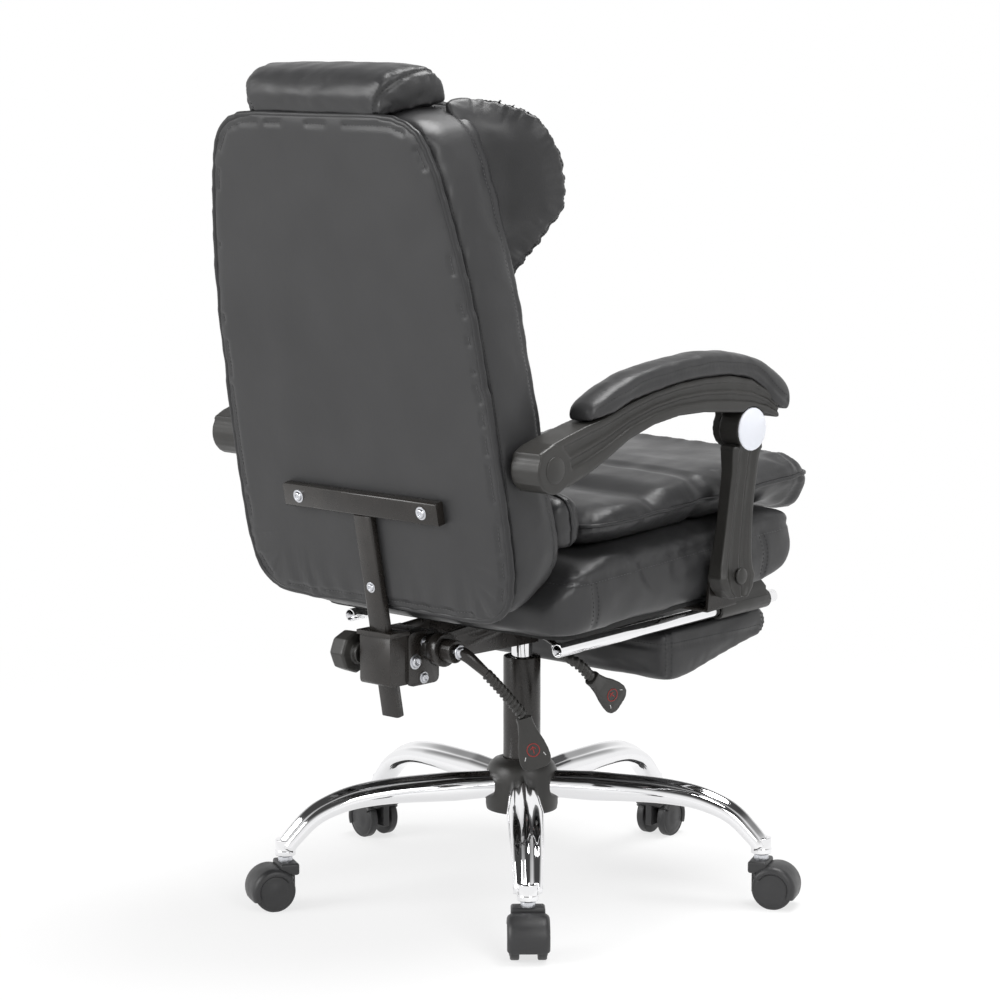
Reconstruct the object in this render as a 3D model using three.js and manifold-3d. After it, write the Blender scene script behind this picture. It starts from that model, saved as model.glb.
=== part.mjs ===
// Reclining office chair with a slide-out footrest, in millimetres, +Z up.
// The sitter faces -Y and the sitter's right hand is on -X.
import * as THREE from 'three';
import { mergeVertices } from 'three/addons/utils/BufferGeometryUtils.js';
import Module from 'manifold-3d';

const wasm = await Module();
wasm.setup();

const turn = 2 * Math.PI;
const radians = THREE.MathUtils.degToRad;

// Fits shared by every piece
const seatGap = 0.3;
const runGap = 0.5;
const overrun = 2;
const weldDistance = 0.0001;

// Star base
const legCount = 5;
const starTurn = radians(7.55);
const stemCircle = 330;
const legHeight = 144;
const legThickness = 36;
const legWidth = 49;
const legReachShares = [0.082, 0.155, 0.364, 0.564, 0.727, 0.858, 0.939, 0.982, 0.998];
const legHeightShares = [0.993, 0.993, 1, 1.003, 0.965, 0.861, 0.71, 0.6, 0.535];
const legThicknessShares = [0.94, 0.94, 0.92, 0.98, 1, 0.88, 0.78, 0.76, 0.76];
const legWidthShares = [0.76, 0.79, 0.88, 0.98, 1, 0.98, 0.9, 0.76, 0.6];
const legSectionSides = 12;
const legRidge = 2;
const ferruleRadius = 14;
const ferruleFoot = 71.3;
const ferruleTop = 90;
const hubRadius = 30;
const hubFoot = 110;
const hubTop = 172;
const coverRadius = 48.5;
const coverWall = 3.2;
const coverTop = 179;
const coverFoot = 109;
const coverShoulder = 150;

// Underside of the seat over the column; the column, hinge, back, arms and footrest follow it
const seatHeight = 395.6;

// Gas column, standing in the hub
const columnRadius = 25;
const columnWall = 2.4;
const columnFoot = 107;
const columnDrop = 78.6;
const columnTop = seatHeight - columnDrop;
const columnFloor = 5;
const bushRecess = 1.5;
const bushTop = columnTop - bushRecess;
const bushLength = 75;
const bushPlay = 0.35;
const rodRadius = 5;
const bearingRadius = 13;
const bearingThickness = 5;
const cylinderRadius = 14;
const cylinderFoot = 140;
const cylinderDrop = 25.6;
const cylinderTop = seatHeight - cylinderDrop;
const rodClearance = 0.6;
const rodCrown = 25;
const rodTop = cylinderTop - rodCrown;
const buttonRadius = 4;
const buttonHeight = 7;

// Twin-wheel casters
const stemRadius = 5.5;
const stemTop = 89;
const stemCollarRadius = 9;
const casterTrail = 19.5;
const wheelRadius = 27.5;
const wheelOuter = 26.6;
const wheelInner = 11.5;
const wheelFaceShare = 0.86;
const axleRadius = 4;
const hoodRadius = 31;
const hoodWall = 2.3;
const hoodHalfWidth = 27;
const hoodRoundShare = 0.15;
const hoodTop = 63;
const hoodNose = 14;
const webHalfWidth = 5;
const webBossRadius = 10;

// Seat frame: its underside leans back, with its front edge higher
const seatTilt = Math.atan(0.0605);
const boardHalfWidth = 222;
const boardFront = -225;
const boardRear = 165;
const boardThickness = 12;
const boardCorner = 40;

// Pressed seat plate with the column socket and the two rear ears
const plateHalfWidth = 95;
const plateFront = -110;
const plateRear = 115;
const plateThickness = 4;
const plateCorner = 18;
const housingHalfWidth = 45;
const wallThickness = 5;
const housingFront = -64;
const housingRear = 84;
const housingDepth = 52;
const socketRadius = 20;
const socketLength = 32;
const socketRoof = 7.7;
const socketFoot = cylinderTop - socketLength;
const socketTop = cylinderTop + socketRoof;
const earRadius = 17;

// Recline hinge
const hingeY = 210;
const hingeDrop = 33.6;
const hingeZ = seatHeight - hingeDrop;
const shaftRadius = 6;
const shaftEnd = 6;
const reclinerRadius = 22;
const reclinerThickness = 14.7;
const reclinerInner = housingHalfWidth + seatGap;
const reclinerOuter = reclinerInner + reclinerThickness;

// Release levers, bent rods with a spiral grip and a flat paddle, in the room over the legs
const leverSpanShare = 0.46;
const leverSpan = (hingeZ - legHeight) * leverSpanShare;
const leverRodRadius = 4.2;
const gripRadius = 7;
const gripGroove = 1.6;
const gripPitch = 7;
const paddleLengthShare = 0.84;
const paddleLength = leverSpan * paddleLengthShare;
const paddleWidth = 43;
const paddleNeck = 17;
const paddleThickness = 9;
const reclinePaddleGap = 2.3;
const heightPaddleGap = 1.1;
const leverHubRadius = 15;
const leverHubLength = 18;
const leverHubOuter = reclinerOuter + leverHubLength;
const shaftReach = leverHubOuter + shaftEnd;

// Back, built flat and then leant
const backLean = Math.atan(0.188);
const backFootY = 265.6;
const backFootRise = 18.4;
const backFootZ = seatHeight + backFootRise;
const backHeight = 645;
const backHalfWidth = 238;
const backPanelThickness = 11;
const backDepth = 98;
const backEdge = 12;
const lumbarSwell = 62;
const lumbarFront = backDepth + lumbarSwell;
const backRake = 44;
const backHeightShares = [0, 0, 0.012, 0.045, 0.1, 0.18, 0.32, 0.53, 0.65, 0.815, 0.925, 0.97, 0.993, 1, 1];
const backWidthShares = [0.25, 0.68, 0.84, 0.94, 0.985, 1, 1, 0.975, 0.95, 0.878, 0.8, 0.725, 0.6, 0.45, 0.2];

// Bracket, post and bar that carry the back
const bracketHalfWidth = 27;
const bracketFront = 201;
const bracketRear = 279;
const bracketDepth = bracketRear - bracketFront;
const bracketHeight = 67;
const bracketDrop = 10.6;
const bracketTop = seatHeight - bracketDrop;
const bracketFoot = bracketTop - bracketHeight;
const bracketWall = 3.2;
const bracketLip = 3;
const bracketLipShare = 0.57;
const bracketCorner = 6;
const cheekThickness = 4;
const cheekSeat = 1;
const cheekRearShare = 0.61;
const cheekCorner = 8;
const postHalfWidth = 15;
const postDepth = 13;
const postWall = 2;
const postCorner = 3;
const hollowCorner = 1;
const postFoot = -141;
const barLength = 272;
const barHeight = 30;
const barDepth = 14;
const barFoot = 130.5;
const knobRadius = 27.5;
const knobLobes = 8;
const knobLobeDepth = 2.2;
const knobInner = 44;
const knobOuter = 74;
const knobNeck = 8;
const knobEdge = 5;
const knobY = 264;
const knobDrop = 9;
const knobZ = hingeZ - knobDrop;
const knobScrewRadius = 5;

// Cushions of the seat
const seatHalfWidth = 250;
const seatRearRoom = 32.4;
const seatRear = backFootY + seatRearRoom - backDepth;
const seatFront = -281;
const seatThickness = 104;
const padHalfWidth = 240;
const padRearRoom = 8.4;
const padRear = backFootY + padRearRoom - lumbarFront;
const padFront = -346;
const padEdge = 141;
const padSeat = 108;
const padTop = 166;

// Footrest
const railX = 186;
const railRadius = 8.75;
const railWall = 1.4;
const railLean = Math.atan(0.03185);
const footAxisY = -295;
const footAxisDrop = 14.8;
const footAxisZ = seatHeight - footAxisDrop;
const footrestTravel = 300;
const railTail = 13;
const railNose = 8.75;
const stopPinRadius = 3.5;
const stopPinReach = 21;
const guideHalfWidth = 13;
const guideFront = 10;
const guideRear = 114;
const railLength = guideRear + footrestTravel + stopPinRadius * 2 + railTail;
const knuckleX = 118;
const knuckleWidth = 24;
const knuckleRadius = 12.8;
const footBoardHalfWidth = 166;
const footBoardTop = 9.6;
const footBoardThickness = 6;
const footBoardFront = -2;
const footBoardRear = 196;
const footPadHalfWidth = 172;

// Arm linkage
const armInner = 243;
const armOuter = 290;
const armReach = 400;
const armRise = 100;
const strutLength = 191;
const strutWidth = 60;
const footPivotRise = 48.4;
const rearPivotRise = 224.4;
const footPivot = { y: -107, z: seatHeight + footPivotRise };
const frontPivot = { y: -124, z: footPivot.z + strutLength };
const rearPivot = { y: 260, z: seatHeight + rearPivotRise };
const pivotDiscRadius = 28;
const pivotDiscPlay = 1.2;
const innerDiscRadius = 26;
const strutInner = 256;
const strutOuter = 287;
const capThickness = 4;
const pivotPinRadius = 8;
const bossRadius = 30;
const rearPinRadius = 6;
const rearPinPlay = 4.6;
const rearPinReachShare = 0.93;
const rearPinRoomShare = 0.95;
const rearPinStandoff = 1.5;
const rearPinFlange = 14.4;
const armFootInner = 251;
const armFootOuter = 255.4;
const armFootHalfWidth = 30;
const armFootRoot = 120;
const armFootPinSeat = 1;
const armPadHalfWidth = 27;

// Shape helpers. Outlines are lists of pairs and rings are lists of triples.
function cleaned(geometry) {
  const bare = geometry.clone();
  bare.deleteAttribute('normal');
  bare.deleteAttribute('uv');
  const merged = mergeVertices(bare, weldDistance);
  const corners = merged.index.array;
  const places = merged.attributes.position;
  const kept = [];
  let volume = 0;
  const a = new THREE.Vector3();
  const b = new THREE.Vector3();
  const c = new THREE.Vector3();
  for (let i = 0; i < corners.length; i += 3) {
    const [p, q, r] = [corners[i], corners[i + 1], corners[i + 2]];
    if (p === q || q === r || r === p) continue;
    kept.push(p, q, r);
    a.fromBufferAttribute(places, p);
    b.fromBufferAttribute(places, q);
    c.fromBufferAttribute(places, r);
    volume += a.dot(b.cross(c));
  }
  if (volume < 0) kept.reverse();
  merged.setIndex(kept);
  return merged;
}

function solidOf(geometry) {
  const closed = cleaned(geometry);
  const vertProperties = new Float32Array(closed.attributes.position.array);
  const triVerts = new Uint32Array(closed.index.array);
  return new wasm.Manifold(new wasm.Mesh({ numProp: 3, vertProperties, triVerts }));
}

function geometryOf(solid) {
  const mesh = solid.getMesh();
  const geometry = new THREE.BufferGeometry();
  geometry.setAttribute('position', new THREE.BufferAttribute(mesh.vertProperties, 3));
  geometry.setIndex(new THREE.BufferAttribute(mesh.triVerts, 1));
  return geometry;
}

function join(...shapes) {
  return geometryOf(shapes.map(solidOf).reduce((sum, next) => sum.add(next)));
}

function cut(shape, ...tools) {
  return geometryOf(tools.map(solidOf).reduce((rest, next) => rest.subtract(next), solidOf(shape)));
}

function block(x0, x1, y0, y1, z0, z1) {
  const box = new THREE.BoxGeometry(x1 - x0, y1 - y0, z1 - z0);
  return box.translate((x0 + x1) / 2, (y0 + y1) / 2, (z0 + z1) / 2);
}

function shapeOf(outline) {
  return new THREE.Shape(outline.map(([a, b]) => new THREE.Vector2(a, b)));
}

// An outline of (y, z) pairs carried along X
function plateX(outline, x0, x1) {
  const plate = new THREE.ExtrudeGeometry(shapeOf(outline), { depth: x1 - x0, bevelEnabled: false });
  const toSide = new THREE.Matrix4().makeBasis(
    new THREE.Vector3(0, 1, 0), new THREE.Vector3(0, 0, 1), new THREE.Vector3(1, 0, 0));
  return plate.applyMatrix4(toSide).translate(x0, 0, 0);
}

// An outline of (x, y) pairs carried along Z
function plateZ(outline, z0, z1) {
  const plate = new THREE.ExtrudeGeometry(shapeOf(outline), { depth: z1 - z0, bevelEnabled: false });
  return plate.translate(0, 0, z0);
}

// An outline of (x, z) pairs carried along Y
function plateY(outline, y0, y1) {
  const plate = new THREE.ExtrudeGeometry(shapeOf(outline), { depth: y1 - y0, bevelEnabled: false });
  return plate.rotateX(turn / 4).translate(0, y1, 0);
}

function circle(radius, y, z, sides = 16) {
  const points = [];
  for (let i = 0; i < sides; i += 1) {
    const angle = turn * i / sides;
    points.push([y + radius * Math.cos(angle), z + radius * Math.sin(angle)]);
  }
  return points;
}

function discX(radius, x0, x1, y, z, sides = 16) {
  return plateX(circle(radius, y, z, sides), x0, x1);
}

function discZ(radius, z0, z1, x = 0, y = 0, sides = 16) {
  return plateZ(circle(radius, x, y, sides), z0, z1);
}

// A closed profile of (radius, height) pairs turned about Z
function turned(profile, sides = 16) {
  const points = [...profile, profile[0]].map(([r, z]) => new THREE.Vector2(r, z));
  return new THREE.LatheGeometry(points, sides).rotateX(turn / 4);
}

function roundedRectangle(x0, x1, y0, y1, radius, steps = 4) {
  const corners = [[x1 - radius, y1 - radius], [x0 + radius, y1 - radius],
    [x0 + radius, y0 + radius], [x1 - radius, y0 + radius]];
  const points = [];
  corners.forEach(([cx, cy], corner) => {
    for (let i = 0; i <= steps; i += 1) {
      const angle = turn / 4 * (corner + i / steps);
      points.push([cx + radius * Math.cos(angle), cy + radius * Math.sin(angle)]);
    }
  });
  return points;
}

// A smooth line through pairs, open or closed
function smooth(points, steps, closed = true) {
  const spots = points.map(([a, b]) => new THREE.Vector3(a, b, 0));
  const curve = new THREE.CatmullRomCurve3(spots, closed, 'centripetal');
  const line = curve.getPoints(steps).map((p) => [p.x, p.y]);
  return closed ? line.slice(0, -1) : line;
}

// An outline moved in by a distance along its own normals
function inset(outline, distance) {
  const count = outline.length;
  return outline.map(([a, b], i) => {
    const [a0, b0] = outline[(i + count - 1) % count];
    const [a1, b1] = outline[(i + 1) % count];
    const length = Math.hypot(a1 - a0, b1 - b0);
    return [a - distance * (b1 - b0) / length, b + distance * (a1 - a0) / length];
  });
}

// An outline made smaller or larger about its own middle
function scaled(outline, size) {
  const middle = [0, 1].map((axis) => outline.reduce((sum, p) => sum + p[axis], 0) / outline.length);
  return outline.map((p) => p.map((value, axis) => middle[axis] + (value - middle[axis]) * size));
}

// Triangles that close a flat ring, turned the way the ring runs
function capCorners(ring) {
  const normal = new THREE.Vector3();
  const spots = ring.map((p) => new THREE.Vector3(...p));
  spots.forEach((spot, i) => normal.add(new THREE.Vector3().crossVectors(spot, spots[(i + 1) % spots.length])));
  const toPlane = new THREE.Quaternion().setFromUnitVectors(normal.normalize(), new THREE.Vector3(0, 0, 1));
  const flat = spots.map((spot) => {
    const turnedSpot = spot.applyQuaternion(toPlane);
    return new THREE.Vector2(turnedSpot.x, turnedSpot.y);
  });
  return THREE.ShapeUtils.triangulateShape(flat, []);
}

// A skin over rings of equal count, closed at both ends
function loft(rings) {
  const count = rings[0].length;
  const places = rings.flat();
  const corners = [];
  for (let i = 0; i + 1 < rings.length; i += 1) {
    for (let j = 0; j < count; j += 1) {
      const [a, b] = [i * count + j, i * count + (j + 1) % count];
      corners.push(a, b, b + count, a, b + count, a + count);
    }
  }
  [0, rings.length - 1].forEach((end) => {
    capCorners(rings[end]).forEach(([a, b, c]) => {
      const [p, q, r] = [a, b, c].map((corner) => end * count + corner);
      corners.push(...(end ? [p, q, r] : [p, r, q]));
    });
  });
  const geometry = new THREE.BufferGeometry();
  geometry.setAttribute('position', new THREE.Float32BufferAttribute(places.flat(), 3));
  geometry.setIndex(corners);
  return geometry;
}

// A round or shaped bar that follows a smooth line through triples
function sweep(points, radiusAt, steps, sides) {
  const curve = new THREE.CatmullRomCurve3(points.map((p) => new THREE.Vector3(...p)), false, 'centripetal');
  const frames = curve.computeFrenetFrames(steps);
  const rings = [];
  for (let i = 0; i <= steps; i += 1) {
    const centre = curve.getPointAt(i / steps);
    const ring = [];
    for (let j = 0; j < sides; j += 1) {
      const angle = turn * j / sides;
      const radius = radiusAt(i / steps, angle);
      const spot = centre.clone();
      spot.addScaledVector(frames.normals[i], radius * Math.cos(angle));
      spot.addScaledVector(frames.binormals[i], radius * Math.sin(angle));
      ring.push(spot.toArray());
    }
    rings.push(ring);
  }
  return loft(rings);
}

function mirrored(geometry) {
  return geometry.clone().scale(-1, 1, 1);
}

// Finishes, as seen in the photograph
function finish(color, roughness, metalness) {
  return { color, roughness, metalness };
}
const finishes = {
  leather: finish(0x2b2b2c, 0.45, 0),
  chrome: finish(0xd8d8da, 0.12, 1),
  plastic: finish(0x23221f, 0.5, 0),
  paintedSteel: finish(0x1f1b18, 0.35, 0.3),
  wheelPlastic: finish(0x2a2a2b, 0.55, 0),
  whiteCap: finish(0xe6e8ee, 0.4, 0),
  wood: finish(0x8a6a48, 0.8, 0),
};

function piece(group, name, geometry, look) {
  const shape = cleaned(geometry);
  shape.computeVertexNormals();
  const mesh = new THREE.Mesh(shape, new THREE.MeshStandardMaterial(finishes[look]));
  mesh.name = name;
  group.add(mesh);
  return mesh;
}

function stage(parent, name, x = 0, y = 0, z = 0) {
  const group = new THREE.Group();
  group.name = name;
  group.position.set(x, y, z);
  parent.add(group);
  return group;
}

// Star base: five swept, ridged legs welded to a hub
function legShape(extra = 0, last = legReachShares.length) {
  const spots = legReachShares.map((share, i) =>
    new THREE.Vector3(0, share * stemCircle, legHeightShares[i] * legHeight));
  const rings = [];
  for (let i = 0; i < last; i += 1) {
    const before = spots[Math.max(i - 1, 0)];
    const after = spots[Math.min(i + 1, spots.length - 1)];
    const along = after.clone().sub(before).normalize();
    const up = new THREE.Vector3(0, -along.z, along.y);
    const halfWidth = legWidthShares[i] * legWidth / 2 + extra;
    const halfThickness = legThicknessShares[i] * legThickness / 2 + extra;
    const ring = [];
    for (let j = 0; j < legSectionSides; j += 1) {
      const angle = turn * j / legSectionSides;
      const [c, s] = [Math.cos(angle), Math.sin(angle)];
      const ridge = j === legSectionSides / 4 ? legRidge : 0;
      const rise = Math.sign(s) * Math.abs(s) ** 0.8 * halfThickness + ridge;
      const side = Math.sign(c) * Math.abs(c) ** 0.8 * halfWidth;
      ring.push([side, -(spots[i].y + up.y * rise), spots[i].z + up.z * rise]);
    }
    rings.push(ring);
  }
  return loft(rings);
}

const legTurns = Array.from({ length: legCount }, (unused, i) => starTurn + turn * i / legCount);

function baseStar() {
  const hub = turned([[0, hubFoot], [hubRadius, hubFoot], [hubRadius, hubTop], [0, hubTop]]);
  const legs = legTurns.map((angle) => legShape().rotateZ(angle));
  const ferrules = legTurns.map((angle) =>
    discZ(ferruleRadius, ferruleFoot, ferruleTop, 0, -stemCircle, 12).rotateZ(angle));
  const columnBore = discZ(columnRadius + seatGap, hubFoot - overrun, hubTop + overrun, 0, 0, 24);
  const stemBores = legTurns.map((angle) =>
    discZ(stemRadius + runGap, ferruleFoot - overrun, stemTop + runGap, 0, -stemCircle, 10).rotateZ(angle));
  return cut(join(hub, ...legs, ...ferrules), columnBore, ...stemBores);
}

function hubCover() {
  const roof = hubTop + seatGap;
  const hole = columnRadius + runGap;
  const profile = [
    [coverRadius, coverFoot], [coverRadius, coverShoulder],
    [coverRadius * 0.93, coverShoulder + (coverTop - coverShoulder) * 0.5],
    [coverRadius * 0.76, coverShoulder + (coverTop - coverShoulder) * 0.86],
    [hole + coverWall, coverTop], [hole, coverTop], [hole, roof], [hubRadius + runGap, roof],
    [coverRadius * 0.84 - coverWall, coverShoulder + (roof - coverShoulder) * 0.72],
    [coverRadius - coverWall, coverShoulder], [coverRadius - coverWall, coverFoot],
  ];
  const notches = legTurns.map((angle) => legShape(runGap, 4).rotateZ(angle));
  return cut(turned(profile, 20), ...notches);
}

// Caster, built about its stem with the wheels trailing towards -Y
function casterHood() {
  const axle = [-casterTrail, wheelRadius];
  const arc = (radius, from, to, steps) => Array.from({ length: steps + 1 }, (unused, i) => {
    const angle = radians(from + (to - from) * i / steps);
    return [axle[0] - radius * Math.cos(angle), axle[1] + radius * Math.sin(angle)];
  });
  const innerRadius = hoodRadius - hoodWall;
  const shell = [...arc(hoodRadius, -32, 84, 7), [axle[0], hoodTop], [hoodNose, hoodTop],
    [hoodNose, axle[1] + hoodRadius * 0.5], ...arc(innerRadius, 150, -30, 8)];
  const pulled = ([y, z], amount) => {
    const reach = Math.hypot(y - axle[0], z - axle[1]);
    const pull = reach > hoodRadius - hoodWall / 2 ? amount * hoodWall / reach : 0;
    return [y - (y - axle[0]) * pull, z - (z - axle[1]) * pull];
  };
  const edges = [[1, 0.6], [1 - hoodRoundShare, 0]];
  const levels = [...edges, ...[...edges].reverse().map(([x, amount]) => [-x, amount])];
  const band = loft(levels.map(([x, amount]) =>
    shell.map((spot) => [x * hoodHalfWidth, ...pulled(spot, amount)])));
  const web = plateX([...arc(innerRadius + hoodWall / 2, 20, 130, 4), ...arc(webBossRadius, 190, 340, 3)],
    -webHalfWidth, webHalfWidth);
  const bossReach = wheelInner - runGap;
  const boss = discX(webBossRadius, -bossReach, bossReach, ...axle, 12);
  const stem = discZ(stemRadius, hoodTop - overrun, stemTop, 0, 0, 10);
  const collar = discZ(stemCollarRadius, hoodTop - overrun, ferruleFoot - seatGap, 0, 0, 12);
  const bore = discX(axleRadius + runGap, -wheelInner, wheelInner, ...axle, 10);
  return cut(join(band, web, boss, stem, collar), bore);
}

function casterWheels() {
  const faceRadius = wheelRadius * wheelFaceShare;
  const half = [[faceRadius, wheelOuter * 0.975], [wheelRadius, wheelOuter * 0.86],
    [wheelRadius, wheelInner], [axleRadius, wheelInner]];
  const other = [...half].reverse().map(([r, x]) => [r, -x]);
  const profile = [[0, wheelOuter], ...half, ...other, [0, -wheelOuter]];
  return turned(profile, 18).rotateY(turn / 4);
}

// Piston rod on its bearing, gas cylinder and release button
function pistonRod() {
  const foot = columnFoot + columnFloor + seatGap;
  return join(discZ(bearingRadius, foot, foot + bearingThickness), discZ(rodRadius, columnFoot, rodTop, 0, 0, 12));
}

function gasCylinder() {
  const body = discZ(cylinderRadius, cylinderFoot, cylinderTop, 0, 0, 24);
  return cut(body, discZ(rodRadius + rodClearance, cylinderFoot - overrun, rodTop + overrun, 0, 0, 12));
}

function columnTube() {
  const outer = discZ(columnRadius, columnFoot, columnTop, 0, 0, 24);
  const bore = discZ(columnRadius - columnWall, columnFoot + columnFloor, columnTop + overrun, 0, 0, 24);
  const rodHole = discZ(rodRadius + runGap, columnFoot - overrun, columnFoot + columnFloor + overrun, 0, 0, 12);
  return cut(outer, bore, rodHole);
}

function columnBush() {
  const outer = discZ(columnRadius - columnWall - seatGap, bushTop - bushLength, bushTop, 0, 0, 24);
  return cut(outer, discZ(cylinderRadius + bushPlay, bushTop - bushLength - overrun, bushTop + overrun, 0, 0, 24));
}

// Underside of the seat at a given y, in the chair's frame
const seatUnderside = (y) => seatHeight - Math.tan(seatTilt) * y;

function seatMechanism() {
  const plate = plateZ(roundedRectangle(-plateHalfWidth, plateHalfWidth, plateFront, plateRear, plateCorner),
    -plateThickness - seatGap, -seatGap).rotateX(-seatTilt).translate(0, 0, seatHeight);
  const top = (y) => seatUnderside(y) - plateThickness / 2 - seatGap;
  const foot = seatHeight - housingDepth;
  const ear = [];
  for (let i = 0; i <= 8; i += 1) {
    const angle = radians(-100 + 200 * i / 8);
    ear.push([hingeY + earRadius * Math.cos(angle), hingeZ + earRadius * Math.sin(angle)]);
  }
  const wallOutline = [[housingFront, foot + plateThickness], [housingFront + plateThickness, foot],
    [housingRear, foot], ...ear, [housingRear + earRadius, top(housingRear + earRadius)],
    [housingFront, top(housingFront)]];
  const walls = [-1, 1].map((side) => {
    const [a, b] = [side * housingHalfWidth, side * (housingHalfWidth - wallThickness)];
    return plateX(wallOutline, Math.min(a, b), Math.max(a, b));
  });
  const webs = [housingFront, housingRear - wallThickness].map((y) =>
    block(-housingHalfWidth + wallThickness / 2, housingHalfWidth - wallThickness / 2,
      y, y + wallThickness, foot, top(y + wallThickness)));
  const socket = discZ(socketRadius, socketFoot, socketTop);
  const ribs = block(-housingHalfWidth + wallThickness / 2, housingHalfWidth - wallThickness / 2,
    -socketRadius, -socketRadius + wallThickness, socketFoot + plateThickness, top(0));
  const clip = block(leverPivotX - leverClipHalf, leverPivotX + leverClipHalf,
    -leverRodRadius * 2, leverRodRadius * 2, leverRodZ - leverRodRadius * 2, top(0));
  const bore = discZ(cylinderRadius + seatGap, socketFoot - overrun, cylinderTop + seatGap, 0, 0, 24);
  const buttonHole = discZ(buttonRadius + runGap * 2, cylinderTop, socketTop + overrun, 0, 0, 12);
  const clipBore = discX(leverRodRadius + rodClearance * 2, leverPivotX - leverClipHalf - overrun,
    leverPivotX + leverClipHalf + overrun, 0, leverRodZ, 12);
  const slot = block(-housingHalfWidth - overrun, -housingHalfWidth + wallThickness + overrun,
    leverSlotShares.front * leverSpan, leverSlotShares.rear * leverSpan,
    leverRodZ + leverSlotShares.foot * leverSpan, leverRodZ + leverSlotShares.top * leverSpan);
  const shaftBore = discX(shaftRadius + seatGap, -housingHalfWidth - overrun, housingHalfWidth + overrun,
    hingeY, hingeZ, 16);
  return cut(join(plate, ...walls, ...webs, ribs, socket, clip), bore, buttonHole, clipBore, slot, shaftBore);
}

// Height lever: a bent rod from above the release button, out through the housing's side. The
// shares are of the levers' span, from the bend inside the housing and from the end of the hub.
const leverRodRise = 14.5;
const leverRodZ = cylinderTop + leverRodRise;
const leverBendX = -(housingHalfWidth - wallThickness - leverRodRadius - rodClearance);
const leverClipInset = 13.2;
const leverPivotX = leverBendX + leverClipInset;
const leverClipHalf = 2.8;
const leverSlotShares = { front: -0.04, rear: 0.17, foot: -0.435, top: -0.085 };
const leverPoints = (shares, origin) => shares.map((spot) =>
  spot.map((share, axis) => origin[axis] + share * leverSpan));
const leverBend = [leverBendX, 0, leverRodZ];
const heightRodShares = [[0.072, 0, 0], [0.004, 0.004, -0.055], [0, 0.02, -0.185], [-0.018, 0.045, -0.295],
  [-0.088, 0.08, -0.34], [-0.268, 0.16, -0.355], [-0.608, 0.37, -0.385]];
const heightGripShares = [[-0.608, 0.37, -0.385], [-0.868, 0.52, -0.415], [-1.058, 0.58, -0.465],
  [-1.138, 0.5, -0.555], [-1.168, 0.34, -0.715]];
const heightLeverRoute = [[buttonRadius, 0, leverRodZ], [leverPivotX / 2, 0, leverRodZ],
  ...leverPoints(heightRodShares, leverBend)];
const heightGripRoute = leverPoints(heightGripShares, leverBend);
const leverRoot = [-leverHubOuter, hingeY, hingeZ];
const reclineRodShares = [[0.02, -0.04, -0.01], [-0.1, -0.08, -0.05], [-0.2, -0.16, -0.16]];
const reclineGripShares = [[-0.2, -0.16, -0.16], [-0.25, -0.28, -0.28], [-0.32, -0.55, -0.57], [-0.4, -0.82, -0.9]];
const reclineLeverRoute = leverPoints(reclineRodShares, leverRoot);
const reclineGripRoute = leverPoints(reclineGripShares, leverRoot);
const heightPaddleTip = leverPoints([[-1.188, -0.34, -1.225]], leverBend)[0];
const reclinePaddleTip = leverPoints([[-0.54, -0.96, -1.62]], leverRoot)[0];
const paddleFacing = [-0.72, 0.62, 0.3];

// Spiral grip: one groove winds round a rod that swells from the bare rod
function grip(route, steps) {
  const curve = new THREE.CatmullRomCurve3(route.map((p) => new THREE.Vector3(...p)), false, 'centripetal');
  const turns = curve.getLength() / (gripPitch * 2);
  const radiusAt = (share, angle) => {
    const swell = Math.min(1, share * 8 + 0.6, (1 - share) * 8 + 0.6);
    const wave = Math.cos(2 * angle - turn * share * turns * 2);
    return swell * (gripRadius - gripGroove * (1 - wave) / 2);
  };
  return sweep(route, radiusAt, steps, 7);
}

function paddleFrame(from, to) {
  const along = new THREE.Vector3(...to).sub(new THREE.Vector3(...from)).normalize();
  const face = new THREE.Vector3(...paddleFacing);
  face.addScaledVector(along, -face.dot(along)).normalize();
  const across = new THREE.Vector3().crossVectors(face, along);
  return new THREE.Matrix4().makeBasis(across, along, face).setPosition(new THREE.Vector3(...from));
}

// A flat teardrop that widens from a neck round the rod's end to a broad, blunt tip
function paddle(from, to, gap) {
  const shares = [[0, 0.5], [0.12, 0.5], [0.3, 0.62], [0.5, 0.84], [0.68, 0.97], [0.82, 1], [0.93, 0.9], [0.99, 0.62]];
  const rings = shares.map(([along, wide]) => {
    const halfWidth = Math.max(wide * paddleWidth / 2, paddleNeck / 2);
    const halfThickness = Math.max((1 - along * 1.5) * (gripRadius + overrun), paddleThickness / 2)
      * (along > 0.9 ? 0.75 : 1);
    const ring = [];
    for (let j = 0; j < 12; j += 1) {
      const angle = turn * j / 12;
      const [c, s] = [Math.cos(angle), Math.sin(angle)];
      ring.push([Math.sign(c) * Math.abs(c) ** 0.7 * halfWidth, along * paddleLength,
        Math.sign(s) * Math.abs(s) ** 0.7 * halfThickness]);
    }
    return ring;
  });
  return loft(rings).translate(0, gap, 0).applyMatrix4(paddleFrame(from, to));
}

function lever(rodRoute, gripRoute, inner) {
  const rod = sweep(rodRoute, () => leverRodRadius, inner, 8);
  return join(rod, grip(gripRoute, 26));
}

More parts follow.
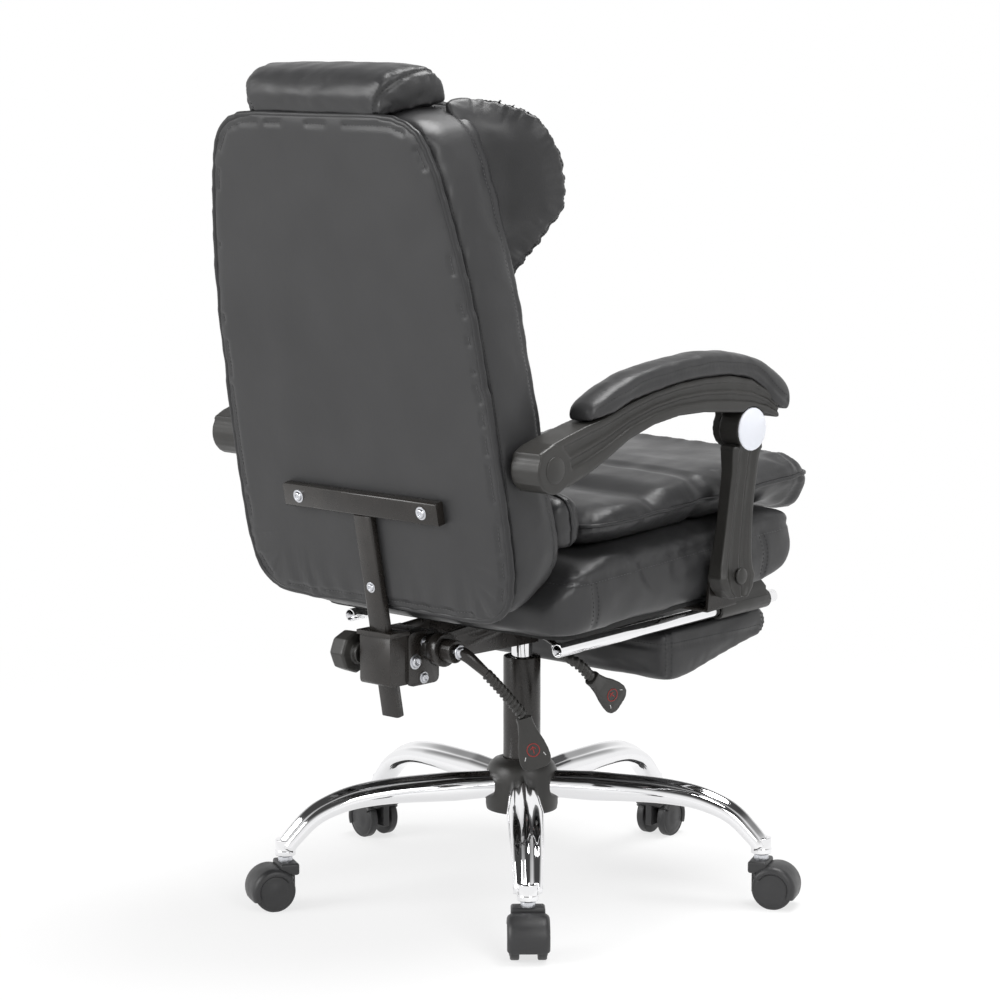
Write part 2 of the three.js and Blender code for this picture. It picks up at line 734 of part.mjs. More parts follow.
// Soft sections are (side share, height share) pairs round one ring. Height shares run from -1 at
// the underside, through 0 at the edge, to 1 on top.
const boxCushionShares = [[1, 0.28], [0.998, 0.42], [0.986, 0.62], [0.982, 0.7], [0.994, 0.78], [0.985, 0.9],
  [0.94, 0.98], [0.84, 1], [0.6, 1.02], [0.3, 1.03], [0, 1.035], [-0.3, 1.03], [-0.6, 1.02], [-0.84, 1],
  [-0.94, 0.98], [-0.985, 0.9], [-0.994, 0.78], [-0.982, 0.7], [-0.986, 0.62], [-0.998, 0.42], [-1, 0.28],
  [-0.985, 0.1], [-0.94, 0.0], [-0.5, 0], [0, 0], [0.5, 0], [0.94, 0.0], [0.985, 0.1]];
const seatStationShares = [0, 0.01, 0.035, 0.075, 0.13, 0.21, 0.35, 0.55, 0.75, 0.88, 0.95, 0.975, 0.99, 1];
const seatWidthShares = [0.86, 0.92, 0.965, 0.992, 1, 1, 1, 1, 1, 1, 0.995, 0.985, 0.965, 0.91];
const seatFloorShares = [0.14, 0.06, 0.01, 0, 0, 0, 0, 0, 0, 0.03, 0.1, 0.2, 0.3, 0.44];
const seatRoofShares = [0.4, 0.52, 0.64, 0.76, 0.87, 0.96, 1, 1, 0.98, 0.97, 0.95, 0.93, 0.89, 0.8];

function seatCushion() {
  const rings = seatStationShares.map((share, i) => {
    const y = seatRear + (seatFront - seatRear) * share;
    const floor = seatFloorShares[i] * seatThickness + (i > 1 && i < 9 ? seatGap : 0);
    const height = seatRoofShares[i] * seatThickness - floor;
    const halfWidth = seatWidthShares[i] * seatHalfWidth;
    return boxCushionShares.map(([side, up]) => [side * halfWidth, y, floor + up * height]);
  });
  return cut(loft(rings), seatBoard(seatGap));
}

function seatBoard(extra = 0) {
  const outline = roundedRectangle(-boardHalfWidth - extra, boardHalfWidth + extra,
    boardFront - extra, boardRear + extra, boardCorner);
  return plateZ(outline, extra ? -overrun : 0, boardThickness + extra);
}

const padShares = [[1, 0], [0.985, 0.34], [0.95, 0.66], [0.9, 0.86], [0.82, 0.96], [0.66, 1.02], [0.34, 1.08],
  [0, 1.1], [-0.34, 1.08], [-0.66, 1.02], [-0.82, 0.96], [-0.9, 0.86], [-0.95, 0.66], [-0.985, 0.34], [-1, 0],
  [-0.98, -0.3], [-0.93, -0.7], [-0.87, -0.93], [-0.8, -1], [-0.4, -1], [0, -1], [0.4, -1], [0.8, -1],
  [0.87, -0.93], [0.93, -0.7], [0.98, -0.3]];
const padStationShares = [0, 0.012, 0.05, 0.12, 0.2, 0.25, 0.275, 0.3, 0.34, 0.45, 0.6, 0.75, 0.86, 0.92, 0.96,
  0.985, 1];
const padWidthShares = [0.88, 0.93, 0.965, 0.99, 1, 1, 0.996, 1, 1, 1, 1, 1, 1, 0.99, 0.975, 0.94, 0.87];
const padFloorShares = [1.1, 1.03, 1, 1, 1, 1, 1, 1, 1, 1, 1, 1, 0.99, 0.96, 0.98, 1.04, 1.12];
const padRoofShares = [0.84, 0.88, 0.93, 0.95, 0.95, 0.93, 0.91, 0.95, 0.99, 1.01, 1.02, 1, 0.98, 0.95, 0.91,
  0.86, 0.8];

function seatPad() {
  const rings = padStationShares.map((share, i) => {
    const y = padRear + (padFront - padRear) * share;
    const floor = padFloorShares[i] * padSeat;
    const roof = padRoofShares[i] * padTop;
    const edge = Math.min(padEdge, (roof + floor) / 2 + (roof - floor) * 0.05);
    const halfWidth = padWidthShares[i] * padHalfWidth;
    return padShares.map(([side, up]) =>
      [side * halfWidth, y, up > 0 ? edge + up * (roof - edge) : edge + up * (edge - floor)]);
  });
  return loft(rings);
}

// Footrest pieces, in the rail's own leaning frame about the pad's axis
function footrestRail(side) {
  const tube = cut(plateY(circle(railRadius, 0, 0), -railNose, railLength),
    plateY(circle(railRadius - railWall, 0, 0), -railNose - overrun, railLength + overrun));
  const stop = guideRear + footrestTravel + stopPinRadius + runGap;
  const pin = discX(stopPinRadius, railRadius - railWall / 2, stopPinReach, stop, 0, 8);
  const railWithPin = join(tube, pin);
  return (side > 0 ? mirrored(railWithPin) : railWithPin).translate(side * railX, 0, 0);
}

function footrestBoard() {
  const board = block(-footBoardHalfWidth, footBoardHalfWidth, footBoardFront, footBoardRear,
    -footBoardTop - footBoardThickness, -footBoardTop);
  const knuckles = [-1, 1].map((side) => {
    const [x0, x1] = [side * knuckleX - knuckleWidth / 2, side * knuckleX + knuckleWidth / 2];
    return join(discX(knuckleRadius, x0, x1, 0, 0),
      block(x0, x1, footBoardFront, knuckleRadius * 2, -footBoardTop - footBoardThickness / 2,
        -footBoardTop + overrun));
  });
  const bore = discX(railRadius + runGap, -railX, railX, 0, 0);
  return cut(join(board, ...knuckles), bore);
}

const footPadOutlineShares = [[0.03, 0.02], [0.25, 0], [0.5, 0], [0.75, 0], [0.97, 0.02], [1, 0.1], [1, 0.5],
  [0.985, 0.88], [0.95, 0.98], [0.85, 1], [0.72, 0.97], [0.4, 0.78], [0.15, 0.63], [0.02, 0.55], [-0.02, 0.45],
  [-0.01, 0.15]];
const footPadFront = -12;
const footPadRear = 208;
const footPadDepth = 70;

function footrestPad() {
  const top = -footBoardTop - footBoardThickness - seatGap;
  const outline = smooth(footPadOutlineShares.map(([along, down]) =>
    [footPadFront + along * (footPadRear - footPadFront), top - down * footPadDepth]), 30);
  const stations = [[1, 0.88], [0.985, 0.95], [0.95, 0.99], [0.85, 1.01], [0.4, 1.03]];
  const levels = [...stations, ...[...stations].reverse().map(([x, size]) => [-x, size])];
  const rings = levels.map(([share, size]) => scaled(outline, size).map(([y, z]) =>
    [share * footPadHalfWidth, y, z]));
  const above = block(-railX, railX, -railLength, railLength, top, railX);
  return cut(loft(rings), above);
}

function footrestGuide(side) {
  const frame = new THREE.Matrix4().makeRotationX(-railLean).setPosition(side * railX, footAxisY, footAxisZ);
  const sleeve = plateY(circle(guideHalfWidth, 0, 0, 16), guideFront, guideRear).applyMatrix4(frame);
  const bore = plateY(circle(railRadius + runGap, 0, 0, 16), guideFront - overrun, guideRear + overrun)
    .applyMatrix4(frame);
  const [front, rear] = [footAxisY + guideFront + railNose, footAxisY + guideRear - railNose];
  const saddle = plateX([[front, footAxisZ], [rear, footAxisZ - guideRear * Math.tan(railLean)],
    [rear, seatUnderside(rear) - seatGap], [front + guideHalfWidth, seatUnderside(front + guideHalfWidth) - seatGap],
    [front, seatUnderside(front) - guideHalfWidth]],
    side * railX - guideHalfWidth * 0.8, side * railX + guideHalfWidth * 0.8);
  return cut(join(sleeve, saddle), bore);
}

// Back pieces, in the back's own frame: x across, -y forwards from the rear face, z up the panel
const backOutline = (() => {
  const right = backHeightShares.map((share, i) => [backWidthShares[i] * backHalfWidth, share * backHeight]);
  const left = [...right].reverse().map(([x, z]) => [-x, z]);
  return smooth([...right, ...left], 48);
})();

function backLayers(layers) {
  return loft(layers.map(([distance, depth, lift]) => inset(backOutline, distance).map(([x, z]) => {
    const low = Math.max(0, 1 - z / (backHeight * 0.12));
    return [x, -depth, z + low * lift];
  })));
}

function backPanel() {
  const edge = backPanelThickness * 0.35;
  return backLayers([[edge, 0, 0], [0, edge * 0.7, 0], [0, backPanelThickness - edge, 0],
    [edge, backPanelThickness, 0]]);
}

// Layers of the back cushion: (roll of the edge, depth, rake of the lower end)
const cushionLayerShares = [[0.42, 0, 0], [0.08, 0.05, 0], [-0.08, 0.26, 0], [0, 0.49, 0.18], [0.06, 0.78, 0.5],
  [0.2, 0.93, 0.77], [0.66, 1, 1]];

function backCushion() {
  const near = backPanelThickness + seatGap;
  return backLayers(cushionLayerShares.map(([edge, depth, rake]) =>
    [edge * backEdge, near + depth * (backDepth - near), rake * backRake]));
}

// A padded piece with stations up the back; each is (height, half width, front depth)
function backPadLoft(stations, rear, edgeShare) {
  return loft(stations.map(([z, halfWidth, front]) => {
    const edge = rear + (front - rear) * edgeShare;
    return padShares.map(([side, up]) =>
      [side * halfWidth, -(up > 0 ? edge + up * (front - edge) / 1.1 : edge + up * (edge - rear)), z]);
  }));
}

const frontPadRear = backDepth + seatGap;
const lumbarFoot = 60;
const lumbarTop = 142;
const lumbarHalfWidth = 229;

function lumbarRoll() {
  const middle = [(frontPadRear + lumbarFront) / 2, (lumbarFoot + lumbarTop) / 2];
  const half = [(lumbarFront - frontPadRear) / 2, (lumbarTop - lumbarFoot) / 2];
  const stations = [[1, 0.45], [0.985, 0.7], [0.95, 0.88], [0.88, 0.97], [0.6, 1], [0.2, 0.98]];
  const all = [...stations, ...[...stations].reverse().map(([x, size]) => [-x, size])];
  return loft(all.map(([share, size]) => {
    const ring = [];
    for (let j = 0; j < 18; j += 1) {
      const angle = turn * j / 18;
      const [c, s] = [Math.cos(angle), Math.sin(angle)];
      ring.push([share * lumbarHalfWidth, -middle[0] - size * half[0] * Math.sign(c) * Math.abs(c) ** 0.7,
        middle[1] + size * half[1] * Math.sign(s) * Math.abs(s) ** 0.7]);
    }
    return ring;
  }));
}

const frontPadHeights = { foot: 145, top: 370 };
const frontPadHalfWidth = 208;
const frontPadDepth = 42;
const frontPadStationShares = [0, 0.02, 0.07, 0.18, 0.3, 0.42, 0.47, 0.5, 0.53, 0.58, 0.7, 0.82, 0.93, 0.98, 1];
const frontPadBulgeShares = [0.35, 0.62, 0.86, 1, 1, 0.88, 0.74, 0.64, 0.74, 0.86, 0.97, 0.97, 0.84, 0.62, 0.35];
const frontPadWidthShares = [0.9, 0.94, 0.98, 1, 1, 0.995, 0.99, 0.985, 0.985, 0.98, 0.97, 0.95, 0.92, 0.89, 0.85];

function frontPad() {
  const span = frontPadHeights.top - frontPadHeights.foot;
  return backPadLoft(frontPadStationShares.map((share, i) => [frontPadHeights.foot + share * span,
    frontPadWidthShares[i] * frontPadHalfWidth, frontPadRear + frontPadBulgeShares[i] * frontPadDepth]),
  frontPadRear, 0.3);
}

const headPadFoot = 374;
const headPadInset = 3;
const headPadTop = backHeight - headPadInset;
const headPadHalfWidth = 138;
const headPadDepth = 56;
const headPadStationShares = [0, 0.03, 0.12, 0.3, 0.55, 0.8, 0.94, 1];
const headPadBulgeShares = [0.3, 0.58, 0.84, 1, 1, 0.88, 0.62, 0.35];

function headPad() {
  const span = headPadTop - headPadFoot;
  return backPadLoft(headPadStationShares.map((share, i) => [headPadFoot + share * span,
    headPadHalfWidth, frontPadRear + headPadBulgeShares[i] * headPadDepth]), frontPadRear, 0.3);
}

// Side wing of the head pillow: stations are (height, reach of the rim forwards, rim across, root across)
const wingRear = frontPadRear;
const headRollLift = 2.2;
const wingFoot = headPadFoot;
const wingHead = backHeight + headRollLift - runGap;
const wingReach = 90;
const wingSpan = 230;
const wingRootX = 143;
const wingThickness = 46;
const wingStationShares = [[0, 0.05, 0.92, 0.77], [0.06, 0.15, 0.935, 0.74], [0.15, 0.3, 0.952, 0.72],
  [0.275, 0.565, 0.974, 0.71], [0.41, 0.91, 0.991, 0.7], [0.53, 1, 1, 0.7], [0.65, 1, 1, 0.7], [0.77, 0.85, 1, 0.7],
  [0.865, 0.74, 0.965, 0.68], [0.915, 0.68, 0.9, 0.66], [0.955, 0.56, 0.81, 0.62], [0.985, 0.36, 0.73, 0.6],
  [1, 0.2, 0.69, 0.6]];
const wingSwellShares = [0.45, 0.72, 0.9, 1, 1, 1, 1, 1, 0.95, 0.88, 0.74, 0.55, 0.36];
const wingTaperShare = 0.42;

function wing() {
  const blade = loft(wingStationShares.map(([up, reach, across, rootAcross], i) => {
    const root = new THREE.Vector2(-rootAcross * wingSpan, -wingRear + wingThickness / 4);
    const tip = new THREE.Vector2(-across * wingSpan, -wingRear - reach * wingReach);
    const along = tip.clone().sub(root);
    const side = new THREE.Vector2(-along.y, along.x).normalize();
    const ring = [];
    for (let j = 0; j < 20; j += 1) {
      const angle = turn * j / 20;
      const [c, s] = [Math.cos(angle), Math.sin(angle)];
      const reachShare = (1 + Math.sign(c) * Math.abs(c) ** 0.75) / 2;
      const thick = Math.sign(s) * Math.abs(s) ** 0.75 * wingThickness / 2 * wingSwellShares[i]
        * (1 - wingTaperShare * reachShare);
      const spot = root.clone().addScaledVector(along, reachShare).addScaledVector(side, thick);
      ring.push([spot.x, spot.y, wingFoot + up * (wingHead - wingFoot)]);
    }
    return ring;
  }));
  const behind = block(-backHalfWidth * 2, backHalfWidth, -wingRear, backHalfWidth, 0, backHeight * 2);
  const inside = block(-wingRootX, backHalfWidth, -backHalfWidth * 2, backHalfWidth, 0, backHeight * 2);
  return cut(blade, behind, inside);
}

// Roll on the top of the back: (depth, height) shares of a flat-footed section, wider at its front
const headRollHalfWidth = 139;
const headRollRearShare = 0.78;
const headRollHeight = 46;
const headRollShares = [[0.02, 0], [-0.03, 0.26], [0, 0.58], [0.11, 0.83], [0.3, 0.97], [0.55, 1], [0.8, 0.92],
  [0.95, 0.64], [1.01, 0.3], [1, 0], [0.5, 0]];
const headRollEndShares = [[1, 0.5], [0.985, 0.74], [0.95, 0.9], [0.88, 0.97], [0.6, 1], [0.2, 1]];

function headRoll() {
  const outline = smooth(headRollShares, 30);
  const ends = [...headRollEndShares, ...[...headRollEndShares].reverse().map(([x, size]) => [-x, size])];
  const foot = backHeight + headRollLift;
  const roll = loft(ends.map(([share, size]) => outline.map(([depth, up]) => {
    const across = headRollRearShare + (1 - headRollRearShare) * depth;
    const deep = (1 + (depth * 2 - 1) * (1 + size) / 2) / 2;
    return [share * across * headRollHalfWidth, -deep * backDepth, foot + up * size * headRollHeight];
  })));
  return cut(roll, block(-backHalfWidth, backHalfWidth, -backHalfWidth, backHalfWidth, 0, foot));
}

function backPost() {
  const outer = roundedRectangle(-postHalfWidth, postHalfWidth, seatGap, seatGap + postDepth, postCorner, 2);
  const hollow = roundedRectangle(-postHalfWidth + postWall, postHalfWidth - postWall,
    seatGap + postWall, seatGap + postDepth - postWall, hollowCorner, 1);
  return cut(plateZ(outer, postFoot, barFoot - seatGap), plateZ(hollow, postFoot - overrun, barFoot - barHeight));
}

function backBar() {
  const outline = roundedRectangle(seatGap, seatGap + barDepth, barFoot, barFoot + barHeight, postCorner, 3);
  return plateX(outline, -barLength / 2, barLength / 2);
}

// Bracket that carries the post, hinged between the ears, in the chair's frame
function backBracket() {
  const box = plateX(roundedRectangle(bracketFront, bracketRear, bracketFoot, bracketTop, bracketCorner, 3),
    -bracketHalfWidth, bracketHalfWidth);
  const lip = block(-bracketHalfWidth - bracketLip, bracketHalfWidth + bracketLip,
    bracketFront + bracketDepth * bracketLipShare, bracketRear + bracketLip, bracketTop - bracketLip, bracketTop + bracketLip);
  const cheekOutline = roundedRectangle(hingeY - earRadius, bracketFront + bracketDepth * cheekRearShare,
    bracketFoot - bracketLip, bracketTop, cheekCorner, 3);
  const cheeks = [-1, 1].map((side) => {
    const [a, b] = [side * (bracketHalfWidth - cheekSeat), side * (bracketHalfWidth + cheekThickness)];
    return plateX(cheekOutline, Math.min(a, b), Math.max(a, b));
  });
  const hingeBoss = discX(earRadius, -housingHalfWidth + wallThickness + seatGap,
    housingHalfWidth - wallThickness - seatGap, hingeY, hingeZ, 16);
  const slot = roundedRectangle(-postHalfWidth - runGap, postHalfWidth + runGap,
    seatGap - runGap, seatGap + postDepth + runGap, postCorner, 2);
  const postSlot = plateZ(slot, postFoot - overrun, barFoot).rotateX(-backLean).translate(0, backFootY, backFootZ);
  const pocket = block(-bracketHalfWidth + bracketWall, bracketHalfWidth - bracketWall,
    hingeY + earRadius + bracketWall, bracketRear - postDepth * 3, bracketFoot - overrun, bracketTop - bracketWall);
  const bore = discX(shaftRadius + seatGap, -housingHalfWidth, housingHalfWidth, hingeY, hingeZ, 16);
  const screwBore = discX(knobScrewRadius + runGap, 0, housingHalfWidth, knobY, knobZ, 10);
  return cut(join(box, lip, ...cheeks, hingeBoss), postSlot, pocket, bore, screwBore);
}

function handKnob() {
  const lobed = [];
  for (let i = 0; i < knobLobes * 3; i += 1) {
    const angle = turn * i / (knobLobes * 3);
    const radius = knobRadius - knobLobeDepth * (1 - Math.cos(knobLobes * angle)) / 2;
    lobed.push([radius * Math.cos(angle), radius * Math.sin(angle)]);
  }
  const neck = circle(knobRadius * 0.5, 0, 0, lobed.length);
  const rings = [[knobInner - knobNeck, neck, 1], [knobInner, neck, 1], [knobInner + knobEdge / 2, lobed, 0.95],
    [knobInner + knobEdge, lobed, 1], [knobOuter - knobEdge, lobed, 0.97], [knobOuter, lobed, 0.82]];
  const head = loft(rings.map(([x, outline, size]) => outline.map(([y, z]) => [x, y * size, z * size])));
  const screw = discX(knobScrewRadius, postHalfWidth + runGap + seatGap, knobInner, 0, 0, 10);
  return join(head, screw).translate(0, knobY, knobZ);
}

// Arms, drawn for the sitter's right hand (-X) and mirrored for the left. Beam stations are shares
// of the arm's reach and rise from the front pivot: (along, underside, top).
const beamStationShares = [[1.025, -0.31, 0.07], [0.965, -0.41, 0.17], [0.89, -0.38, 0.25], [0.81, -0.28, 0.33],
  [0.7225, -0.13, 0.4], [0.61, 0.09, 0.53], [0.49, 0.23, 0.64], [0.365, 0.3, 0.71], [0.2375, 0.3, 0.74],
  [0.1075, 0.25, 0.73], [0, 0.21, 0.65], [-0.08, 0.17, 0.49], [-0.14, 0.1, 0.29]];
const beamStations = beamStationShares.map(([along, low, high]) => ({ y: frontPivot.y + along * armReach,
  low: frontPivot.z + low * armRise, high: frontPivot.z + high * armRise }));
const beamSectionShares = [[0, 0.08], [0, 0.3], [0.08, 0.36], [0.08, 0.48], [0, 0.56], [0.08, 0.66], [0.08, 0.8],
  [0, 0.88], [0.06, 1], [0.94, 1], [1, 0.88], [1, 0.56], [0.94, 0.48], [0.94, 0.3], [1, 0.22], [0.95, 0], [0.05, 0]];

function armBeam() {
  const width = armOuter - armInner;
  const body = loft(beamStations.map(({ y, low, high }) => beamSectionShares.map(([inward, up]) =>
    [-armOuter + inward * width, y, low + up * (high - low)])));
  const boss = discX(bossRadius, -armOuter, -armInner, rearPivot.y, rearPivot.z, 20);
  const hub = discX(innerDiscRadius, -strutInner + seatGap, -armInner, frontPivot.y, frontPivot.z, 18);
  const neck = block(-strutInner + seatGap, -armInner, frontPivot.y - innerDiscRadius * 0.8,
    frontPivot.y + innerDiscRadius * 0.8, frontPivot.z, frontPivot.z + innerDiscRadius);
  const pin = discX(pivotPinRadius, -strutOuter, -strutInner + overrun, frontPivot.y, frontPivot.z, 12);
  const headRoom = discX(pivotDiscRadius + pivotDiscPlay, -armOuter - overrun, -strutInner + seatGap,
    frontPivot.y, frontPivot.z, 20);
  const pinRoom = discX(rearPinRadius + rearPinPlay, -armOuter * rearPinRoomShare, -armInner + overrun,
    rearPivot.y, rearPivot.z, 12);
  return cut(join(cut(join(body, boss), headRoom), hub, neck, pin), pinRoom);
}

// Strut stations are shares of its length and width: (height over the foot pivot, rear, front)
const strutStationShares = [[0.89, 0.5, -0.467], [0.796, 0.517, -0.483], [0.712, 0.517, -0.517], [0.586, 0.6, -0.517],
  [0.461, 0.667, -0.5], [0.33, 0.75, -0.45], [0.204, 0.833, -0.383], [0.094, 0.9, -0.317], [0, 0.9, -0.283],
  [-0.084, 0.783, -0.2], [-0.152, 0.533, 0]];
const strutSectionShares = [[0, 0.08], [0, 0.2], [0.12, 0.28], [0.12, 0.4], [0, 0.52], [0.12, 0.66],
  [0.12, 0.78], [0, 0.88], [0.15, 1], [0.85, 1], [1, 0.9], [1, 0.1], [0.85, 0], [0.15, 0]];

function armStrut() {
  const width = strutOuter - strutInner;
  const body = loft(strutStationShares.map(([up, rear, front]) => strutSectionShares.map(([inward, along]) =>
    [-strutOuter + inward * width, frontPivot.y + (front + along * (rear - front)) * strutWidth,
      footPivot.z + up * strutLength])));
  const head = discX(pivotDiscRadius, -strutOuter, -strutInner, frontPivot.y, frontPivot.z, 20);
  const pinBore = discX(pivotPinRadius + seatGap, -strutOuter - overrun, -strutInner + overrun,
    frontPivot.y, frontPivot.z, 12);
  const footBore = discX(pivotPinRadius + seatGap, -strutOuter - overrun, -strutInner + overrun,
    footPivot.y, footPivot.z, 12);
  return cut(join(body, head), pinBore, footBore);
}

function pivotCap() {
  const outer = -strutOuter - seatGap;
  const levels = [[outer, 1], [outer - capThickness * 0.6, 1], [outer - capThickness, 0.9]];
  return loft(levels.map(([x, size]) => circle(pivotDiscRadius * size, 0, 0, 24).map(([y, z]) => [x, y, z])))
    .translate(0, frontPivot.y, frontPivot.z);
}

// Height of the beam's top at a given y
function beamTop(y) {
  const after = beamStations.findIndex((station) => station.y <= y);
  const [rear, front] = [beamStations[after - 1], beamStations[after]];
  return rear.high + (front.high - rear.high) * (rear.y - y) / (rear.y - front.y);
}

// Pad stations are (along, top, width) shares; past the beam's front end they give the underside too
const armPadStationShares = [[0.855, 0.43, 0.6], [0.845, 0.51, 0.8], [0.81, 0.58, 0.94], [0.7225, 0.73, 1],
  [0.61, 0.86, 1], [0.49, 0.94, 1], [0.365, 1, 1], [0.2375, 1.04, 1], [0.1075, 1.02, 1], [0, 0.95, 1],
  [-0.08, 0.87, 1], [-0.135, 0.785, 1], [-0.2, 0.67, 0.98, 0.2], [-0.24, 0.585, 0.92, 0.16],
  [-0.262, 0.5, 0.8, 0.2], [-0.27, 0.42, 0.6, 0.26]];
const armPadShares = [[1, 0.3], [0.97, 0.6], [0.86, 0.85], [0.6, 1], [0, 1.08], [-0.6, 1], [-0.86, 0.85],
  [-0.97, 0.6], [-1, 0.3], [-0.97, 0.08], [-0.88, 0], [0, 0], [0.88, 0], [0.97, 0.08]];

function armPad() {
  const middle = -(armInner + armOuter) / 2;
  return loft(armPadStationShares.map(([along, top, wide, under]) => {
    const y = frontPivot.y + along * armReach;
    const high = frontPivot.z + top * armRise;
    const low = under === undefined ? beamTop(y) + seatGap : frontPivot.z + under * armRise;
    return armPadShares.map(([side, up]) =>
      [middle + side * wide * armPadHalfWidth, y, low + up * (high - low)]);
  }));
}

// Angle bracket under the seat with the pin for the strut's foot
function armFoot() {
  const top = (y) => seatUnderside(y) - seatGap;
  const [front, rear] = [footPivot.y - armFootHalfWidth, footPivot.y + armFootHalfWidth];
  const shelf = plateX([[front, top(front)], [front, top(front) - plateThickness],
    [rear, top(rear) - plateThickness], [rear, top(rear)]], -armFootOuter, -armFootRoot);
  const head = [];
  for (let i = 0; i <= 6; i += 1) {
    const angle = Math.PI * i / 6;
    head.push([footPivot.y + armFootHalfWidth * 0.8 * Math.cos(angle),
      footPivot.z + armFootHalfWidth * 0.8 * Math.sin(angle)]);
  }
  const upright = plateX([[front, top(front) - plateThickness], [rear, top(rear) - plateThickness], ...head],
    -armFootOuter, -armFootInner);
  const pin = discX(pivotPinRadius, -strutOuter, -armFootInner - armFootPinSeat, footPivot.y, footPivot.z, 12);
  return join(shelf, upright, pin);
}

// Pin on the side of the back that the arm's rear boss turns on
function armRearPin() {
  const root = -backHalfWidth - rearPinStandoff;
  const body = discX(rearPinRadius, -armOuter * rearPinReachShare, root, rearPivot.y, rearPivot.z, 12);
  const flange = discX(rearPinFlange, -armInner + runGap, root, rearPivot.y, rearPivot.z, 12);
  return join(body, flange);
}

// The chair, assembled
const chair = new THREE.Group();
chair.name = 'office_chair';

const base = stage(chair, 'base');
piece(base, 'base_star', baseStar(), 'chrome');
piece(base, 'hub_cover', hubCover(), 'plastic');
piece(base, 'column_tube', columnTube(), 'paintedSteel');
piece(base, 'column_bush', columnBush(), 'plastic');

legTurns.forEach((angle, i) => {
  const caster = stage(base, `caster_${i + 1}`, stemCircle * Math.sin(angle), -stemCircle * Math.cos(angle), 0);
  caster.rotation.z = angle;
  piece(caster, `caster_hood_${i + 1}`, casterHood(), 'wheelPlastic');
  const axle = stage(caster, `axle_${i + 1}`, 0, -casterTrail, wheelRadius);
  piece(axle, `caster_wheels_${i + 1}`, casterWheels(), 'wheelPlastic');
});

piece(chair, 'piston_rod', pistonRod(), 'paintedSteel');
const lift = stage(chair, 'lift');
piece(lift, 'gas_cylinder', gasCylinder(), 'chrome');
piece(lift, 'release_button', discZ(buttonRadius, cylinderTop + seatGap, cylinderTop + seatGap + buttonHeight,
  0, 0, 16), 'paintedSteel');
piece(lift, 'seat_mechanism', seatMechanism(), 'paintedSteel');
const reclinerDisc = cut(discX(reclinerRadius, -reclinerOuter, -reclinerInner, hingeY, hingeZ, 28),
  discX(shaftRadius + seatGap, -reclinerOuter - overrun, -reclinerInner + overrun, hingeY, hingeZ, 16));
piece(lift, 'recliner_disc', reclinerDisc, 'paintedSteel');
piece(lift, 'hinge_shaft', discX(shaftRadius, -shaftReach, housingHalfWidth + shaftEnd, hingeY, hingeZ, 16),
  'paintedSteel');

const reclineHub = discX(leverHubRadius, -leverHubOuter, -reclinerOuter - seatGap, hingeY, hingeZ, 20);
const reclineRod = cut(join(reclineHub, lever(reclineLeverRoute, reclineGripRoute, 6)),
  discX(shaftRadius + seatGap, -shaftReach - overrun, -reclinerOuter, hingeY, hingeZ, 16));
piece(lift, 'recline_lever', reclineRod, 'plastic');
const heightRod = lever(heightLeverRoute, heightGripRoute, 14);
piece(lift, 'height_lever', heightRod, 'plastic');
piece(lift, 'recline_paddle', paddle(reclineGripRoute.at(-1), reclinePaddleTip, reclinePaddleGap), 'plastic');
piece(lift, 'height_paddle', paddle(heightGripRoute.at(-1), heightPaddleTip, heightPaddleGap), 'plastic');

const seat = stage(lift, 'seat', 0, 0, seatHeight);
seat.rotation.x = -seatTilt;
piece(seat, 'seat_board', seatBoard(), 'wood');
piece(seat, 'seat_cushion', seatCushion(), 'leather');
piece(seat, 'seat_pad', seatPad(), 'leather');

const footrest = stage(lift, 'footrest', 0, footAxisY, footAxisZ);
footrest.rotation.x = -railLean;
piece(footrest, 'footrest_rail_right', footrestRail(-1), 'chrome');
piece(footrest, 'footrest_rail_left', footrestRail(1), 'chrome');
const crossbarHalf = railX - railRadius - seatGap;
piece(footrest, 'footrest_crossbar', discX(railRadius, -crossbarHalf, crossbarHalf, 0, 0, 20), 'chrome');
piece(footrest, 'footrest_board', footrestBoard(), 'plastic');
piece(footrest, 'footrest_pad', footrestPad(), 'leather');
piece(lift, 'footrest_guide_right', footrestGuide(-1), 'plastic');
piece(lift, 'footrest_guide_left', footrestGuide(1), 'plastic');

piece(lift, 'back_bracket', backBracket(), 'paintedSteel');
piece(lift, 'hand_knob', handKnob(), 'plastic');
const back = stage(lift, 'back', 0, backFootY, backFootZ);
back.rotation.x = -backLean;
piece(back, 'back_post', backPost(), 'paintedSteel');
piece(back, 'back_bar', backBar(), 'paintedSteel');
piece(back, 'back_panel', backPanel(), 'leather');
piece(back, 'back_cushion', backCushion(), 'leather');
piece(back, 'lumbar_roll', lumbarRoll(), 'leather');
piece(back, 'back_pad', frontPad(), 'leather');
piece(back, 'head_pad', headPad(), 'leather');
piece(back, 'head_roll', headRoll(), 'leather');
piece(back, 'head_wing_right', wing(), 'leather');
piece(back, 'head_wing_left', mirrored(wing()), 'leather');

[['right', (shape) => shape], ['left', mirrored]].forEach(([side, place]) => {
  piece(lift, `arm_foot_${side}`, place(armFoot()), 'paintedSteel');
  piece(lift, `arm_strut_${side}`, place(armStrut()), 'plastic');
  piece(lift, `arm_beam_${side}`, place(armBeam()), 'plastic');
  piece(lift, `arm_cap_${side}`, place(pivotCap()), 'whiteCap');
  piece(lift, `arm_pad_${side}`, place(armPad()), 'leather');
  piece(lift, `arm_pin_${side}`, place(armRearPin()), 'paintedSteel');
});

// The origin lies on the floor, in the middle of the space that the whole chair takes up
chair.updateMatrixWorld(true);
const space = new THREE.Box3().setFromObject(chair, true);
const middle = space.getCenter(new THREE.Vector3());
chair.position.set(-middle.x, -middle.y, -space.min.z);
chair.updateMatrixWorld(true);

export default chair;
